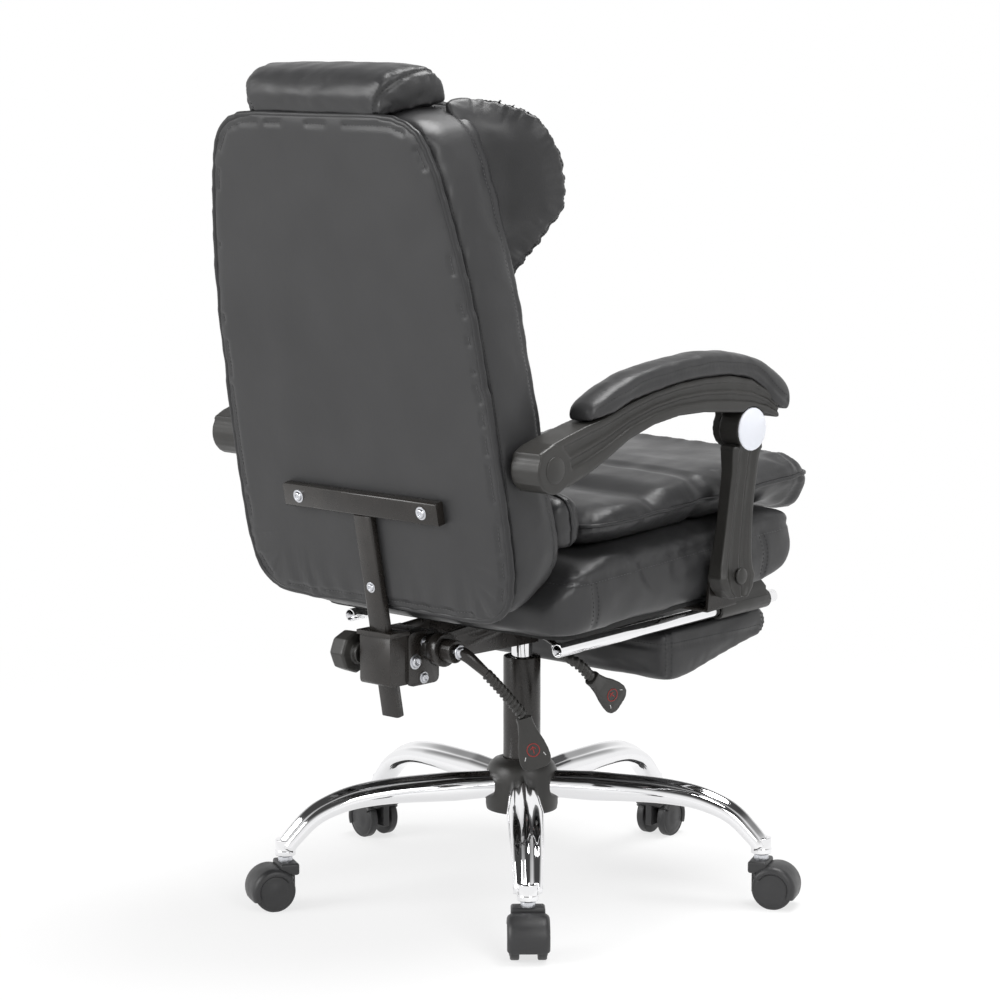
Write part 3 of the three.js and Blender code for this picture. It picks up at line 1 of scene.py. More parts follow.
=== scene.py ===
# Reclining office chair with a slide-out footrest: padded leather on black plastic, painted steel and chrome.
# Sizes are in metres. The sitter faces -Y and the sitter's right hand is on -X.
import math

import bmesh
import bpy
from mathutils import Matrix, Vector, noise
from mathutils.bvhtree import BVHTree
from mathutils.kdtree import KDTree


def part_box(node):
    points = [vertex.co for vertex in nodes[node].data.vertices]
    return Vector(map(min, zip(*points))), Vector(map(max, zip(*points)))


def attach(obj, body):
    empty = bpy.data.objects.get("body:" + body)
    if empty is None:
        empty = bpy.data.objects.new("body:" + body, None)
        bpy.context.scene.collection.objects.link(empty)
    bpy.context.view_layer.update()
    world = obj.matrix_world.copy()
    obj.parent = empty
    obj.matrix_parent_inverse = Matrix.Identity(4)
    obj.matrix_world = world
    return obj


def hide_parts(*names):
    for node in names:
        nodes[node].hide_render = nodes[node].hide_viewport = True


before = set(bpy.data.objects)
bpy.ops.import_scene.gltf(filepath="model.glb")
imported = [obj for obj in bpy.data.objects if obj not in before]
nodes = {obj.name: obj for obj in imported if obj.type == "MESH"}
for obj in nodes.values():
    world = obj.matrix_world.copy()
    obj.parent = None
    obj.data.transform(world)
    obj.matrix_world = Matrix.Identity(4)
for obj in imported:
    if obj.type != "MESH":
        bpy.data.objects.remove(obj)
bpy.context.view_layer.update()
full_turn = 2 * math.pi
mm = 0.001
weld = 0.00002
sharp_angle = math.radians(32)
flat_angle = math.radians(1)

# The chair's own axes: its origin is on the floor, under the gas column
column_top = 0.317
column_low, column_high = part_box("column_tube")
column_middle = (column_low + column_high) / 2
chair = Vector((column_middle.x, column_middle.y, column_high.z - column_top))
sideways, forwards, upwards = Vector((1, 0, 0)), Vector((0, -1, 0)), Vector((0, 0, 1))
both_sides = (("right", -1), ("left", 1))


def at(x, y, z):
    return chair + Vector((x, y, z)) * mm


# Leaning frames of the back and of the seat
back_lean = math.atan(0.188)
back_foot = at(0, 265.6, 414)
back_axes = Matrix.Translation(back_foot) @ Matrix.Rotation(-back_lean, 4, "X")
seat_tilt = math.atan(0.0605)
seat_axes = Matrix.Translation(at(0, 0, 395.6)) @ Matrix.Rotation(-seat_tilt, 4, "X")


# Objects and meshes
def new_object(name, data):
    piece = bpy.data.objects.new(name, data)
    bpy.context.scene.collection.objects.link(piece)
    return piece


def from_bmesh(name, bm):
    mesh = bpy.data.meshes.new(name)
    bm.to_mesh(mesh)
    bm.free()
    mesh.shade_smooth()
    return new_object(name, mesh)


def baked(piece):
    """Puts what the modifiers make into the piece's own mesh."""
    bpy.context.view_layer.update()
    seen = piece.evaluated_get(bpy.context.evaluated_depsgraph_get())
    mesh = bpy.data.meshes.new_from_object(seen)
    piece.modifiers.clear()
    piece.data = mesh
    return piece


def cad_mesh(node):
    """A CAD node's mesh with its doubles merged."""
    bm = bmesh.new()
    bm.from_mesh(nodes[node].data)
    bmesh.ops.remove_doubles(bm, verts=bm.verts, dist=weld)
    return bm


def copied(node, name):
    return from_bmesh(name, cad_mesh(node))


def softened(node, name, width, segments=2):
    """A copy of a rigid CAD node with whole flat faces and rounded edges."""
    bm = cad_mesh(node)
    bmesh.ops.dissolve_limit(bm, angle_limit=flat_angle, verts=bm.verts, edges=bm.edges)
    return rounded(from_bmesh(name, bm), width, segments, hardened=True)


def rounded(piece, width, segments=2, hardened=False):
    """Rounds the sharp edges of a piece."""
    bevel = piece.modifiers.new("Bevel", "BEVEL")
    bevel.width = width
    bevel.segments = segments
    bevel.limit_method = "ANGLE"
    bevel.angle_limit = sharp_angle
    bevel.harden_normals = hardened
    return piece


def toward(axis, place=Vector()):
    """The frame whose Z runs along an axis."""
    return Matrix.Translation(place) @ Vector(axis).to_track_quat("Z", "Y").to_matrix().to_4x4()


def turned(name, profile, place, axis=upwards, steps=64, edge=0.0004):
    """A closed profile of (radius, height) pairs spun about an axis."""
    bm = bmesh.new()
    verts = [bm.verts.new((radius, 0, height)) for radius, height in profile]
    edges = [bm.edges.new((a, b)) for a, b in zip(verts, verts[1:] + verts[:1])]
    bmesh.ops.spin(bm, geom=verts + edges, cent=(0, 0, 0), axis=(0, 0, 1), angle=full_turn, steps=steps,
                   use_merge=True)
    bmesh.ops.remove_doubles(bm, verts=bm.verts, dist=weld)
    bmesh.ops.dissolve_degenerate(bm, edges=bm.edges, dist=weld)
    bmesh.ops.recalc_face_normals(bm, faces=bm.faces)
    bm.transform(toward(axis, place))
    return rounded(from_bmesh(name, bm), edge)


def skin(name, rings, hoop=False):
    """A skin over rings of equal count, joined into a hoop or filled at both ends."""
    around = len(rings[0])
    along = len(rings) if hoop else len(rings) - 1
    bm = bmesh.new()
    bmesh.ops.create_grid(bm, x_segments=around, y_segments=along, size=1)
    for vert in bm.verts:
        i = round((vert.co.x + 1) / 2 * around) % around
        j = round((vert.co.y + 1) / 2 * along) % len(rings)
        vert.co = rings[j][i]
    bmesh.ops.remove_doubles(bm, verts=bm.verts, dist=weld)
    if not hoop:
        bmesh.ops.holes_fill(bm, edges=[edge for edge in bm.edges if edge.is_boundary], sides=0)
    bmesh.ops.recalc_face_normals(bm, faces=bm.faces)
    return from_bmesh(name, bm)


line_steps = 16


def smooth_line(points, count, closed=False):
    """Evenly spaced points on a smooth line through a few points."""
    spots = [Vector(p) for p in points]
    reach = len(spots)
    dense = []
    for i in range(reach if closed else reach - 1):
        b, c = spots[i], spots[(i + 1) % reach]
        a = spots[i - 1] if closed or i else b * 2 - c
        d = spots[(i + 2) % reach] if closed or i + 2 < reach else c * 2 - b
        for k in range(line_steps):
            t = k / line_steps
            dense.append(0.5 * (2 * b + (c - a) * t + (2 * a - 5 * b + 4 * c - d) * t ** 2
                                + (3 * b - a - 3 * c + d) * t ** 3))
    dense.append(dense[0].copy() if closed else spots[-1])
    return even_line(dense, count, closed)


def length_of(line):
    return sum((b - a).length for a, b in zip(line, line[1:]))


def even_line(dense, count, closed=False):
    """Points at equal distances along a line of many points."""
    lengths = [0.0]
    for a, b in zip(dense, dense[1:]):
        lengths.append(lengths[-1] + (b - a).length)
    result = []
    k = 0
    for i in range(count):
        goal = lengths[-1] * i / (count if closed else count - 1)
        while k + 2 < len(lengths) and lengths[k + 1] < goal:
            k += 1
        span = lengths[k + 1] - lengths[k]
        share = (goal - lengths[k]) / span if span else 0
        result.append(dense[k].lerp(dense[k + 1], min(share, 1)))
    return result


def swept(name, points, radius, sides=12, closed=False):
    """A bar of round section along points; radius is a number or a function of (share, angle)."""
    radius_at = radius if callable(radius) else (lambda share, angle: radius)
    count = len(points)
    rings = []
    normal = None
    for i, place in enumerate(points):
        before = points[i - 1] if closed or i else place
        after = points[(i + 1) % count] if closed or i + 1 < count else place
        along = (after - before).normalized()
        if normal is None:
            normal = along.orthogonal().normalized()
        normal = (normal - along * normal.dot(along)).normalized()
        across = along.cross(normal)
        rings.append([place + (normal * math.cos(a) + across * math.sin(a)) * radius_at(i / count, a)
                      for a in (full_turn * k / sides for k in range(sides))])
    return skin(name, rings, hoop=closed)


def slice_loops(piece, place, facing):
    """Closed lines where a plane cuts a piece, the longest first."""
    bm = bmesh.new()
    bm.from_mesh(piece.data)
    cut = bmesh.ops.bisect_plane(bm, geom=bm.verts[:] + bm.edges[:] + bm.faces[:], plane_co=place,
                                 plane_no=facing)["geom_cut"]
    links = {}
    for edge in (e for e in cut if isinstance(e, bmesh.types.BMEdge)):
        for vert, other in (edge.verts, reversed(edge.verts)):
            links.setdefault(vert, []).append(other)
    loops = []
    left = set(links)
    while left:
        loop = []
        onward = [min(left, key=lambda v: tuple(v.co))]
        while onward:
            loop.append(onward[0])
            left.discard(onward[0])
            onward = [v for v in links[loop[-1]] if v in left]
        loops.append([v.co.copy() for v in loop])
    bm.free()
    return sorted(loops, key=len, reverse=True)


def seam_loop(piece, place, facing, spacing=0.006):
    """Evenly spaced points round a piece, where a plane cuts it."""
    loop = slice_loops(piece, place, facing)[0]
    loop.append(loop[0])
    return even_line(loop, max(8, round(length_of(loop) / spacing)), closed=True)


# Soft pieces
def remeshed(piece, voxel):
    remesh = piece.modifiers.new("Remesh", "REMESH")
    remesh.mode = "VOXEL"
    remesh.voxel_size = voxel
    return baked(piece)


def relaxed(piece, times):
    bm = bmesh.new()
    bm.from_mesh(piece.data)
    for _ in range(times):
        bmesh.ops.smooth_vert(bm, verts=bm.verts, factor=0.5, use_axis_x=True, use_axis_y=True,
                              use_axis_z=True)
    bm.to_mesh(piece.data)
    bm.free()
    return piece


cloth_frames = 14
cloth_settings = {"quality": 4, "mass": 0.3, "tension_stiffness": 12, "compression_stiffness": 12,
                  "shear_stiffness": 4, "bending_stiffness": 0.6, "use_pressure": True,
                  "uniform_pressure_force": 4}


def stuffed(piece, voxel, cap, smoothings=2, slack=0.5):
    """Remeshes a form, shrinks it a little and lets air fill it as cloth, up to a cap."""
    remeshed(piece, voxel)
    relaxed(piece, smoothings)
    mesh = piece.data
    shifted(piece, lambda place: -cap * slack)
    start = [vert.co.copy() for vert in mesh.vertices]
    cloth = piece.modifiers.new("Cloth", "CLOTH")
    for setting, value in cloth_settings.items():
        setattr(cloth.settings, setting, value)
    cloth.settings.effector_weights.gravity = 0
    cloth.collision_settings.use_collision = False
    scene = bpy.context.scene
    for step in range(cloth_frames):
        scene.frame_set(step + 1)
    seen = piece.evaluated_get(bpy.context.evaluated_depsgraph_get())
    moved = [vert.co.copy() for vert in seen.data.vertices]
    piece.modifiers.clear()
    capped = []
    for old, new in zip(start, moved):
        step = new - old
        if step.length > 0:
            step *= cap * math.tanh(step.length / cap) / step.length
        capped.extend(old + step)
    mesh.vertices.foreach_set("co", capped)
    mesh.update()
    scene.frame_set(1)
    relaxed(piece, 1)
    piece.modifiers.new("Subdivision", "SUBSURF")
    baked(piece)
    piece.data.shade_smooth()
    return piece


def shifted(piece, shift):
    """Moves each point of a mesh along its normal by shift(place)."""
    mesh = piece.data
    moved = []
    for vert, normal in zip(mesh.vertices, mesh.vertex_normals):
        moved.extend(vert.co + normal.vector * shift(vert.co))
    mesh.vertices.foreach_set("co", moved)
    mesh.update()
    return piece


def creased(piece, lines, width, depth):
    """Draws a groove into a soft piece along lines of points."""
    tree = tree_of(lines)

    def shift(place):
        distance = tree.find(place)[2]
        return -depth * (1 - (distance / width) ** 2) ** 2 if distance < width else 0

    return shifted(piece, shift)


def tree_of(lines):
    spots = [p for line in lines for p in line]
    tree = KDTree(len(spots))
    for i, spot in enumerate(spots):
        tree.insert(spot, i)
    tree.balance()
    return tree


def puckered(piece, lines, reach, depth, wave, seed):
    """Gathers the leather beside a seam into small folds that fade away from it."""
    tree = tree_of(lines)
    places = []
    for line in lines:
        run = 0.0
        for last, spot in zip(line[:1] + line, line):
            run += (spot - last).length
            places.append(run)

    def shift(place):
        spot, index, distance = tree.find(place)
        if distance > reach:
            return 0
        run = places[index] / wave
        run += 0.6 * noise.noise(Vector((run * 0.37, seed, distance / reach)))
        strength = 0.55 + 0.45 * noise.noise(Vector((run * 0.21, seed + 7, 0)))
        fade = (1 - distance / reach) ** 1.5 * min(1, distance / (reach * 0.12) + 0.25)
        return depth * strength * fade * math.sin(full_turn * run)

    return shifted(piece, shift)


def rumpled(piece, scale, depth, seed):
    """Gives a soft piece the slow, uneven swell of leather over foam."""
    def shift(place):
        return depth * noise.fractal(place / scale + Vector((seed, seed, seed)), 0.6, 2.1, 3)

    return shifted(piece, shift)


def surface_of(piece):
    """The surface of a piece, for finding the nearest place on it."""
    return BVHTree.FromPolygons([vert.co for vert in piece.data.vertices],
                                [face.vertices for face in piece.data.polygons])


def laid_on(piece, line, lift=0.0):
    """A line's points moved to the nearest place on a piece."""
    surface = surface_of(piece)
    nearest = [surface.find_nearest(spot) for spot in line]
    return [place + facing * lift for place, facing, *_ in nearest]


def beside(line, step):
    return [spot + step for spot in line]


def double_rows(piece, lines, across):
    """Lines on a piece on either side of each seam."""
    return [laid_on(piece, beside(line, across * gap)) for line in lines for gap in (-row_gap, row_gap)]


def inner_line(line, facing, distance):
    """A closed flat line moved inwards in its own plane."""
    count = len(line)
    around = sum((line[i] - line[0]).cross(line[(i + 1) % count] - line[0]).dot(facing) for i in range(count))
    hand = math.copysign(1, around)
    result = []
    for i, spot in enumerate(line):
        along = (line[(i + 2) % count] - line[i - 2]).normalized()
        result.append(spot + facing.cross(along) * hand * distance)
    return result


def moulded(node, name, voxel, times=2):
    """A copy of a rigid moulding with all its edges rounded as moulding leaves them."""
    piece = remeshed(copied(node, name), voxel)
    relaxed(piece, times)
    piece.data.shade_smooth()
    return piece


def side_line(piece, across, along, share, hand, inset=0.012, count=40):
    """Points along one side of a piece, at a share of its height above its underside."""
    reaches = [vert.co.dot(along) for vert in piece.data.vertices]
    low, high = min(reaches) + inset, max(reaches) - inset
    line = []
    for i in range(count):
        level = low + (high - low) * i / (count - 1)
        loop = slice_loops(piece, along * level, along)[0]
        floor = min(spot.z for spot in loop)
        roof = max(spot.z for spot in loop)
        goal = floor + share * (roof - floor)
        near = [spot for spot in loop if abs(spot.z - goal) < (roof - floor) * 0.12] or loop
        line.append(max(near, key=lambda spot: spot.dot(across) * hand))
    return even_line(smooth_line(line[::2] + line[-1:], count * 3), count * 3)


def reshaped(piece, axes, change):
    """Moves each point of a piece by change(across, depth, height) along the axes of a frame."""
    inverse = axes.inverted()
    for vert in piece.data.vertices:
        spot = inverse @ vert.co
        vert.co = axes @ Vector(change(spot.x, -spot.y, spot.z))
    piece.data.update()
    return piece


# Materials
def set_up(node, **values):
    """Gives a shader node some input values, named with _ for each space."""
    for socket, value in values.items():
        node.inputs[socket.replace("_", " ")].default_value = value
    return node


def added(tree, kind, **values):
    return set_up(tree.nodes.new(f"ShaderNode{kind}"), **values)


def placed(tree, node, output="Object"):
    """Gives a shader node the place on the piece."""
    tree.links.new(added(tree, "TexCoord").outputs[output], node.inputs[0])
    return node


def material(name, colour, roughness, metallic=0, **values):
    look = bpy.data.materials.new(name)
    look.use_nodes = True
    set_up(look.node_tree.nodes["Principled BSDF"], Base_Color=(*colour, 1), Roughness=roughness,
           Metallic=metallic, **values)
    return look


def surface_noise(look, scale, detail=3, stretch=(1, 1, 1)):
    tree = look.node_tree
    mapping = placed(tree, added(tree, "Mapping", Scale=stretch))
    texture = added(tree, "TexNoise", Scale=scale, Detail=detail, Roughness=0.5)
    tree.links.new(mapping.outputs["Vector"], texture.inputs["Vector"])
    return texture.outputs["Fac"]


def grain_cells(look, scale):
    tree = look.node_tree
    cells = placed(tree, added(tree, "TexVoronoi"))
    cells.feature = "SMOOTH_F1"
    set_up(cells, Scale=scale, Smoothness=0.6)
    return cells.outputs["Distance"]


def ranged(tree, value, from_low, from_high, low, high, step="LINEAR"):
    """Goes from low to high while a value goes from one limit to the other."""
    spread = added(tree, "MapRange", From_Min=from_low, From_Max=from_high, To_Min=low, To_Max=high)
    spread.interpolation_type = step
    tree.links.new(value, spread.inputs["Value"])
    return spread.outputs["Result"]


noise_low, noise_high = 0.3, 0.7


def varied_roughness(look, low, high, scale):
    tree = look.node_tree
    value = ranged(tree, surface_noise(look, scale), noise_low, noise_high, low, high)
    tree.links.new(value, tree.nodes["Principled BSDF"].inputs["Roughness"])


def varied_colour(look, dark, light, scale, detail=3, stretch=(1, 1, 1)):
    tree = look.node_tree
    mix = added(tree, "Mix")
    mix.data_type = "RGBA"
    set_up(mix, A=(*dark, 1), B=(*light, 1))
    share = ranged(tree, surface_noise(look, scale, detail, stretch), noise_low, noise_high, 0, 1)
    tree.links.new(share, mix.inputs["Factor"])
    tree.links.new(mix.outputs["Result"], tree.nodes["Principled BSDF"].inputs["Base Color"])


def bumped(look, heights):
    """Adds bumps, given as (height, strength, distance), one on the other."""
    tree = look.node_tree
    last = None
    for height, strength, distance in heights:
        bump = added(tree, "Bump", Strength=strength, Distance=distance)
        tree.links.new(height, bump.inputs["Height"])
        if last is not None:
            tree.links.new(last, bump.inputs["Normal"])
        last = bump.outputs["Normal"]
    tree.links.new(last, tree.nodes["Principled BSDF"].inputs["Normal"])


def soft_leather(name, dark, light, low=0.36, high=0.48):
    look = material(name, light, high, Specular_IOR_Level=0.42)
    varied_colour(look, dark, light, 7)
    varied_roughness(look, low, high, 22)
    bumped(look, [(surface_noise(look, 26, 4), 0.35, 0.0012), (surface_noise(look, 120, 3), 0.25, 0.0003),
                  (grain_cells(look, 900), 0.35, 0.00018)])
    return look


leather = soft_leather("black_leather", (0.026, 0.026, 0.027), (0.033, 0.033, 0.034))
# Darker leather for the piping cords: painted shade of the groove that each cord lies in.
piping_leather_painted_shade = soft_leather("piping_leather_painted_shade", (0.018, 0.018, 0.019), (0.024, 0.024, 0.025))


def coated(name, colour, roughness, rough=None, bump=None, shades=None, metallic=0):
    """A plain finish; rough and shades are two limits and a scale, bump a scale, strength and depth."""
    look = material(name, colour, roughness, metallic)
    if shades:
        varied_colour(look, *shades)
    if rough:
        varied_roughness(look, *rough)
    if bump:
        scale, strength, distance, *stretch = bump
        bumped(look, [(surface_noise(look, scale, 2, *stretch), strength, distance)])
    return look


thread = coated("black_thread", (0.012, 0.012, 0.0125), 0.6, bump=(2500, 0.5, 0.0002))
# Lighter grey thread, sewn into some rows of stitches.
grey_row_thread = coated("grey_thread", (0.09, 0.09, 0.092), 0.6, bump=(2500, 0.5, 0.0002))
chrome = coated("chrome_plate", (0.86, 0.86, 0.87), 0.06, (0.045, 0.085, 30), (14, 0.06, 0.0004),
                metallic=1.0)
plastic = coated("black_plastic", (0.026, 0.025, 0.023), 0.45, (0.36, 0.48, 40), (1400, 0.25, 0.00015),
                 ((0.019, 0.0182, 0.0166), (0.026, 0.025, 0.0228), 18))
wheel_plastic = coated("caster_plastic", (0.024, 0.024, 0.025), 0.45, (0.38, 0.52, 60), (1200, 0.2, 0.00012))
painted = coated("painted_steel", (0.018, 0.0155, 0.014), 0.3, (0.2, 0.34, 50), (500, 0.12, 0.0001),
                 ((0.013, 0.0112, 0.010), (0.021, 0.018, 0.0155), 24))
zinc = coated("zinc_plate", (0.62, 0.63, 0.66), 0.3, (0.24, 0.4, 300), metallic=1.0)
pale = coated("pale_plastic", (0.80, 0.82, 0.88), 0.35, (0.32, 0.4, 60))
lining = coated("board_lining", (0.016, 0.016, 0.016), 0.85, bump=(900, 0.4, 0.0003, (1, 4, 1)),
                shades=((0.012, 0.012, 0.012), (0.021, 0.021, 0.021), 260, 2, (1, 3, 1)))
red_paint = coated("red_paint", (0.30, 0.018, 0.015), 0.5, (0.45, 0.55, 200))
white_paint = coated("white_paint", (0.55, 0.55, 0.55), 0.5, (0.45, 0.55, 200))

slots = {"padded_leather": (leather, piping_leather_painted_shade, thread, grey_row_thread), "chrome": (chrome, zinc),
         "black_plastic": (plastic, red_paint), "caster_plastic": (wheel_plastic,),
         "painted_steel": (painted,), "pale_cap": (pale, white_paint), "plywood": (lining,)}
slot_of = {look: slot for slot, looks in slots.items() for look in looks}


def dress(piece, body, look, *stands_for, fill=None):
    """Gives a piece its finish and its body, and hides the CAD nodes it stands for."""
    piece.data.materials.clear()
    piece.data.materials.append(look)
    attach(piece, body)
    if stands_for:
        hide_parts(*stands_for)
    return piece


def finish_node(node, look):
    nodes[node].data.materials.clear()
    nodes[node].data.materials.append(look)


# Small fasteners
def bolt(name, place, axis, radius, height, body, washer):
    """A button-head bolt with a socket, on a washer of its own radius."""
    bm = bmesh.new()
    bmesh.ops.create_cone(bm, cap_ends=True, segments=28, radius1=radius, radius2=radius * 0.8, depth=height)
    bm.faces.ensure_lookup_table()
    top = max(bm.faces, key=lambda face: face.calc_center_median().z)
    bmesh.ops.inset_individual(bm, faces=[top], thickness=radius * 0.38)
    pushed = bmesh.ops.extrude_discrete_faces(bm, faces=[top])["faces"]
    bmesh.ops.translate(bm, verts=pushed[0].verts, vec=(0, 0, -height * 0.5))
    bm.transform(toward(axis, place) @ Matrix.Translation((0, 0, height / 2)))
    dress(rounded(from_bmesh(name, bm), radius * 0.12), body, zinc)
    profile = [(radius * 0.5, -0.0006), (washer, -0.0006), (washer, 0.0008), (radius * 0.5, 0.0008)]
    dress(turned(f"{name}_washer", profile, place, axis=axis, steps=32, edge=0.0002), body, zinc)


# The star base
leg_turns = [math.radians(7.55) + full_turn * i / 5 for i in range(5)]
stem_circle = 0.330
leg_height = 0.144
leg_thickness = 0.036
leg_width = 0.049
leg_reach_shares = [0.12, 0.24, 0.364, 0.47, 0.564, 0.65, 0.727, 0.795, 0.858, 0.905, 0.939, 0.966,
                    0.985, 0.996]
leg_height_shares = [0.993, 0.996, 1, 1.004, 1.003, 0.99, 0.965, 0.921, 0.861, 0.787, 0.71, 0.645,
                     0.595, 0.55]
leg_thickness_shares = [0.94, 0.93, 0.92, 0.95, 0.98, 1, 0.98, 0.9, 0.8, 0.7, 0.64, 0.6, 0.58, 0.56]
leg_width_shares = [0.76, 0.83, 0.88, 0.94, 0.98, 1, 1, 1, 1, 0.98, 0.96, 0.92, 0.86, 0.76]
leg_stations = 60
leg_sides = 48
leg_ridge = 0.0035
ridge_share, hollow_share = 0.16, 0.42
ferrule_radius, ferrule_neck, ferrule_bore = 0.0138, 0.0138 * 0.94, 0.0062
ferrule_foot, ferrule_top = 0.0713, 0.092
ferrule_profile = [(ferrule_bore, ferrule_foot), (ferrule_radius, ferrule_foot),
                   (ferrule_radius, ferrule_foot + 0.006), (ferrule_neck, ferrule_foot + 0.0072),
                   (ferrule_neck, ferrule_top), (ferrule_bore, ferrule_top)]


def stem_place(angle):
    """Where the caster stem of a leg stands on the floor."""
    return chair + Vector((stem_circle * math.sin(angle), -stem_circle * math.cos(angle), 0))


def leg_section(angle, half_width, half_thickness):
    """A flattened section with a ridge along the top and a hollow on either side of it."""
    c, s = math.cos(angle), math.sin(angle)
    side = math.copysign(abs(c) ** 0.85, c) * half_width
    rise = math.copysign(abs(s) ** 0.9, s) * half_thickness
    ridge = math.exp(-(c / ridge_share) ** 2)
    hollow = math.exp(-((abs(c) - hollow_share) / ridge_share) ** 2)
    return side, rise + (leg_ridge * (ridge - 0.5 * hollow) if s > 0 else 0)


def star_leg(number, angle):
    centres = smooth_line([(0, -reach * stem_circle, height * leg_height)
                           for reach, height in zip(leg_reach_shares, leg_height_shares)], leg_stations)
    widths = smooth_line([(share, 0, 0) for share in leg_width_shares], leg_stations)
    thicknesses = smooth_line([(share, 0, 0) for share in leg_thickness_shares], leg_stations)
    rings = []
    for i, centre in enumerate(centres):
        along = (centres[min(i + 1, leg_stations - 1)] - centres[max(i - 1, 0)]).normalized()
        up = Vector((0, along.z, -along.y))
        if up.z < 0:
            up = -up
        ring = []
        for k in range(leg_sides):
            side, rise = leg_section(full_turn * k / leg_sides, widths[i].x * leg_width / 2,
                                     thicknesses[i].x * leg_thickness / 2)
            ring.append(centre + Vector((side, 0, 0)) + up * rise)
        rings.append(ring)
    leg = skin(f"star_leg_{number}", rings)
    leg.data.transform(Matrix.Translation(chair) @ Matrix.Rotation(angle, 4, "Z"))
    return leg


def base_star():
    for number, angle in enumerate(leg_turns, 1):
        dress(star_leg(number, angle), "base", chrome, "base_star")
        dress(turned(f"ferrule_{number}", ferrule_profile, stem_place(angle)), "base", chrome)


column_pieces = [
    ("hub_dome", "hub_cover", "base", plastic, 96,
     [(0.0255, 0.179), (0.029, 0.179), (0.0305, 0.1775), (0.0372, 0.1758), (0.0432, 0.1705), (0.0469, 0.1625),
      (0.0484, 0.152), (0.0485, 0.148), (0.0485, 0.115), (0.0475, 0.109), (0.0445, 0.109), (0.0445, 0.148),
      (0.040, 0.166), (0.0255, 0.1735)]),
    ("column_sleeve", "column_tube", "base", painted, 64,
     [(0.0226, 0.112), (0.025, 0.112), (0.025, 0.3155), (0.0243, column_top), (0.0226, column_top)]),
    ("column_liner", "column_bush", "base", plastic, 64,
     [(0.0145, 0.2405), (0.0223, 0.2405), (0.0223, 0.3155), (0.0145, 0.3155)]),
    ("gas_piston", "gas_cylinder", "lift", chrome, 64,
     [(0.0056, 0.140), (0.014, 0.140), (0.014, 0.370), (0.0056, 0.370)])]


def gas_column():
    for name, node, body, look, steps, profile in column_pieces:
        dress(turned(name, profile, chair, steps=steps), body, look, node)
    finish_node("piston_rod", painted)
    finish_node("release_button", painted)


# Casters
caster_trail = 0.0195
wheel_radius = 0.0275
hood_radius = 0.031
hood_half = 0.027
hood_wall = 0.0024
hood_lip = math.radians(-26)
hood_sweep = math.radians(172)
caster_blocks = [("step", hood_half * 0.8, -0.012, 0.014, 0.047, 0.063, 0.0034),
                 ("web", 0.0048, -caster_trail - 0.013, 0.012, 0.018, 0.056, 0.001)]
caster_stem = [(0, 0.060), (0.0095, 0.060), (0.0095, 0.0695), (0.0055, 0.0705), (0.0055, 0.0885), (0, 0.089)]
wheel_half = [(0, 0.0262), (0.009, 0.0260), (0.0105, 0.0252), (0.0165, 0.0248), (0.0218, 0.0240),
              (0.0236, 0.0226), (0.0248, 0.0226), (0.0262, 0.0232), (wheel_radius, 0.0215),
              (wheel_radius, 0.0125), (0.026, 0.0115), (0.004, 0.0115)]
hood_shoulder = [(-1, 0.0085), (-0.985, 0.0055), (-0.93, 0.003), (-0.82, 0.001), (-0.65, 0.0002), (0, 0),
                 (0.65, 0.0002), (0.82, 0.001), (0.93, 0.003), (0.985, 0.0055), (1, 0.0085)]


def caster(number, angle):
    place = Matrix.Translation(stem_place(angle)) @ Matrix.Rotation(angle, 4, "Z")
    axle = Matrix.Translation((0, -caster_trail, wheel_radius))

    # Hood: a section with round shoulders, spun over the wheels from its outer lip to the stem
    bm = bmesh.new()
    outside = [(x * hood_half, hood_radius - drop) for x, drop in hood_shoulder]
    inside = [(x * (hood_half - hood_wall), hood_radius - hood_wall - drop)
              for x, drop in reversed(hood_shoulder)]
    section = outside + inside
    verts = [bm.verts.new((x, -r * math.cos(hood_lip), r * math.sin(hood_lip))) for x, r in section]
    edges = [bm.edges.new((a, b)) for a, b in zip(verts, verts[1:] + verts[:1])]
    bmesh.ops.spin(bm, geom=verts + edges, cent=(0, 0, 0), axis=(-1, 0, 0), angle=hood_sweep, steps=40)
    bmesh.ops.holes_fill(bm, edges=[e for e in bm.edges if e.is_boundary], sides=0)
    bmesh.ops.recalc_face_normals(bm, faces=bm.faces)
    bm.transform(place @ axle)
    dress(rounded(from_bmesh(f"caster_shell_{number}", bm), 0.0004), f"caster_{number}", wheel_plastic,
          f"caster_hood_{number}")

    # Rounded blocks: the step that carries the stem, and the web between the wheels
    for name, half_width, front, rear, foot, top, edge in caster_blocks:
        bm = bmesh.new()
        bmesh.ops.create_cube(bm, size=1)
        bmesh.ops.scale(bm, verts=bm.verts, vec=(half_width * 2, rear - front, top - foot))
        bmesh.ops.translate(bm, verts=bm.verts, vec=(0, (front + rear) / 2, (foot + top) / 2))
        bmesh.ops.bevel(bm, geom=bm.edges[:], offset=edge, segments=4, profile=0.5, affect="EDGES")
        bm.transform(place)
        dress(from_bmesh(f"caster_{name}_{number}", bm), f"caster_{number}", wheel_plastic)
    stem = turned(f"caster_stem_{number}", caster_stem, place.translation, steps=32)
    dress(stem, f"caster_{number}", zinc)

    # Wheels with a tread and a domed face
    profile = wheel_half + [(r, -x) for r, x in reversed(wheel_half)]
    wheels = turned(f"caster_pair_{number}", profile, Vector(), axis=sideways, steps=72)
    wheels.data.transform(place @ axle)
    dress(wheels, f"wheels_{number}", wheel_plastic, f"caster_wheels_{number}")


# Soft pieces of the seat
piping_radius = 0.0026
piping_sink = 0.0012
row_beside = 0.0055
row_gap = 0.005
stitch_spacing, stitch_length = 0.0052, 0.0034
stitch_radius, stitch_lift = 0.0004, 0.0003


def piped(name, piece, line, body, radius=piping_radius):
    """A leather cord sewn into a seam, in darker leather that paints the shade of its groove."""
    cord = swept(name, laid_on(piece, line, radius - piping_sink), radius, 10, closed=True)
    dress(cord, body, piping_leather_painted_shade)


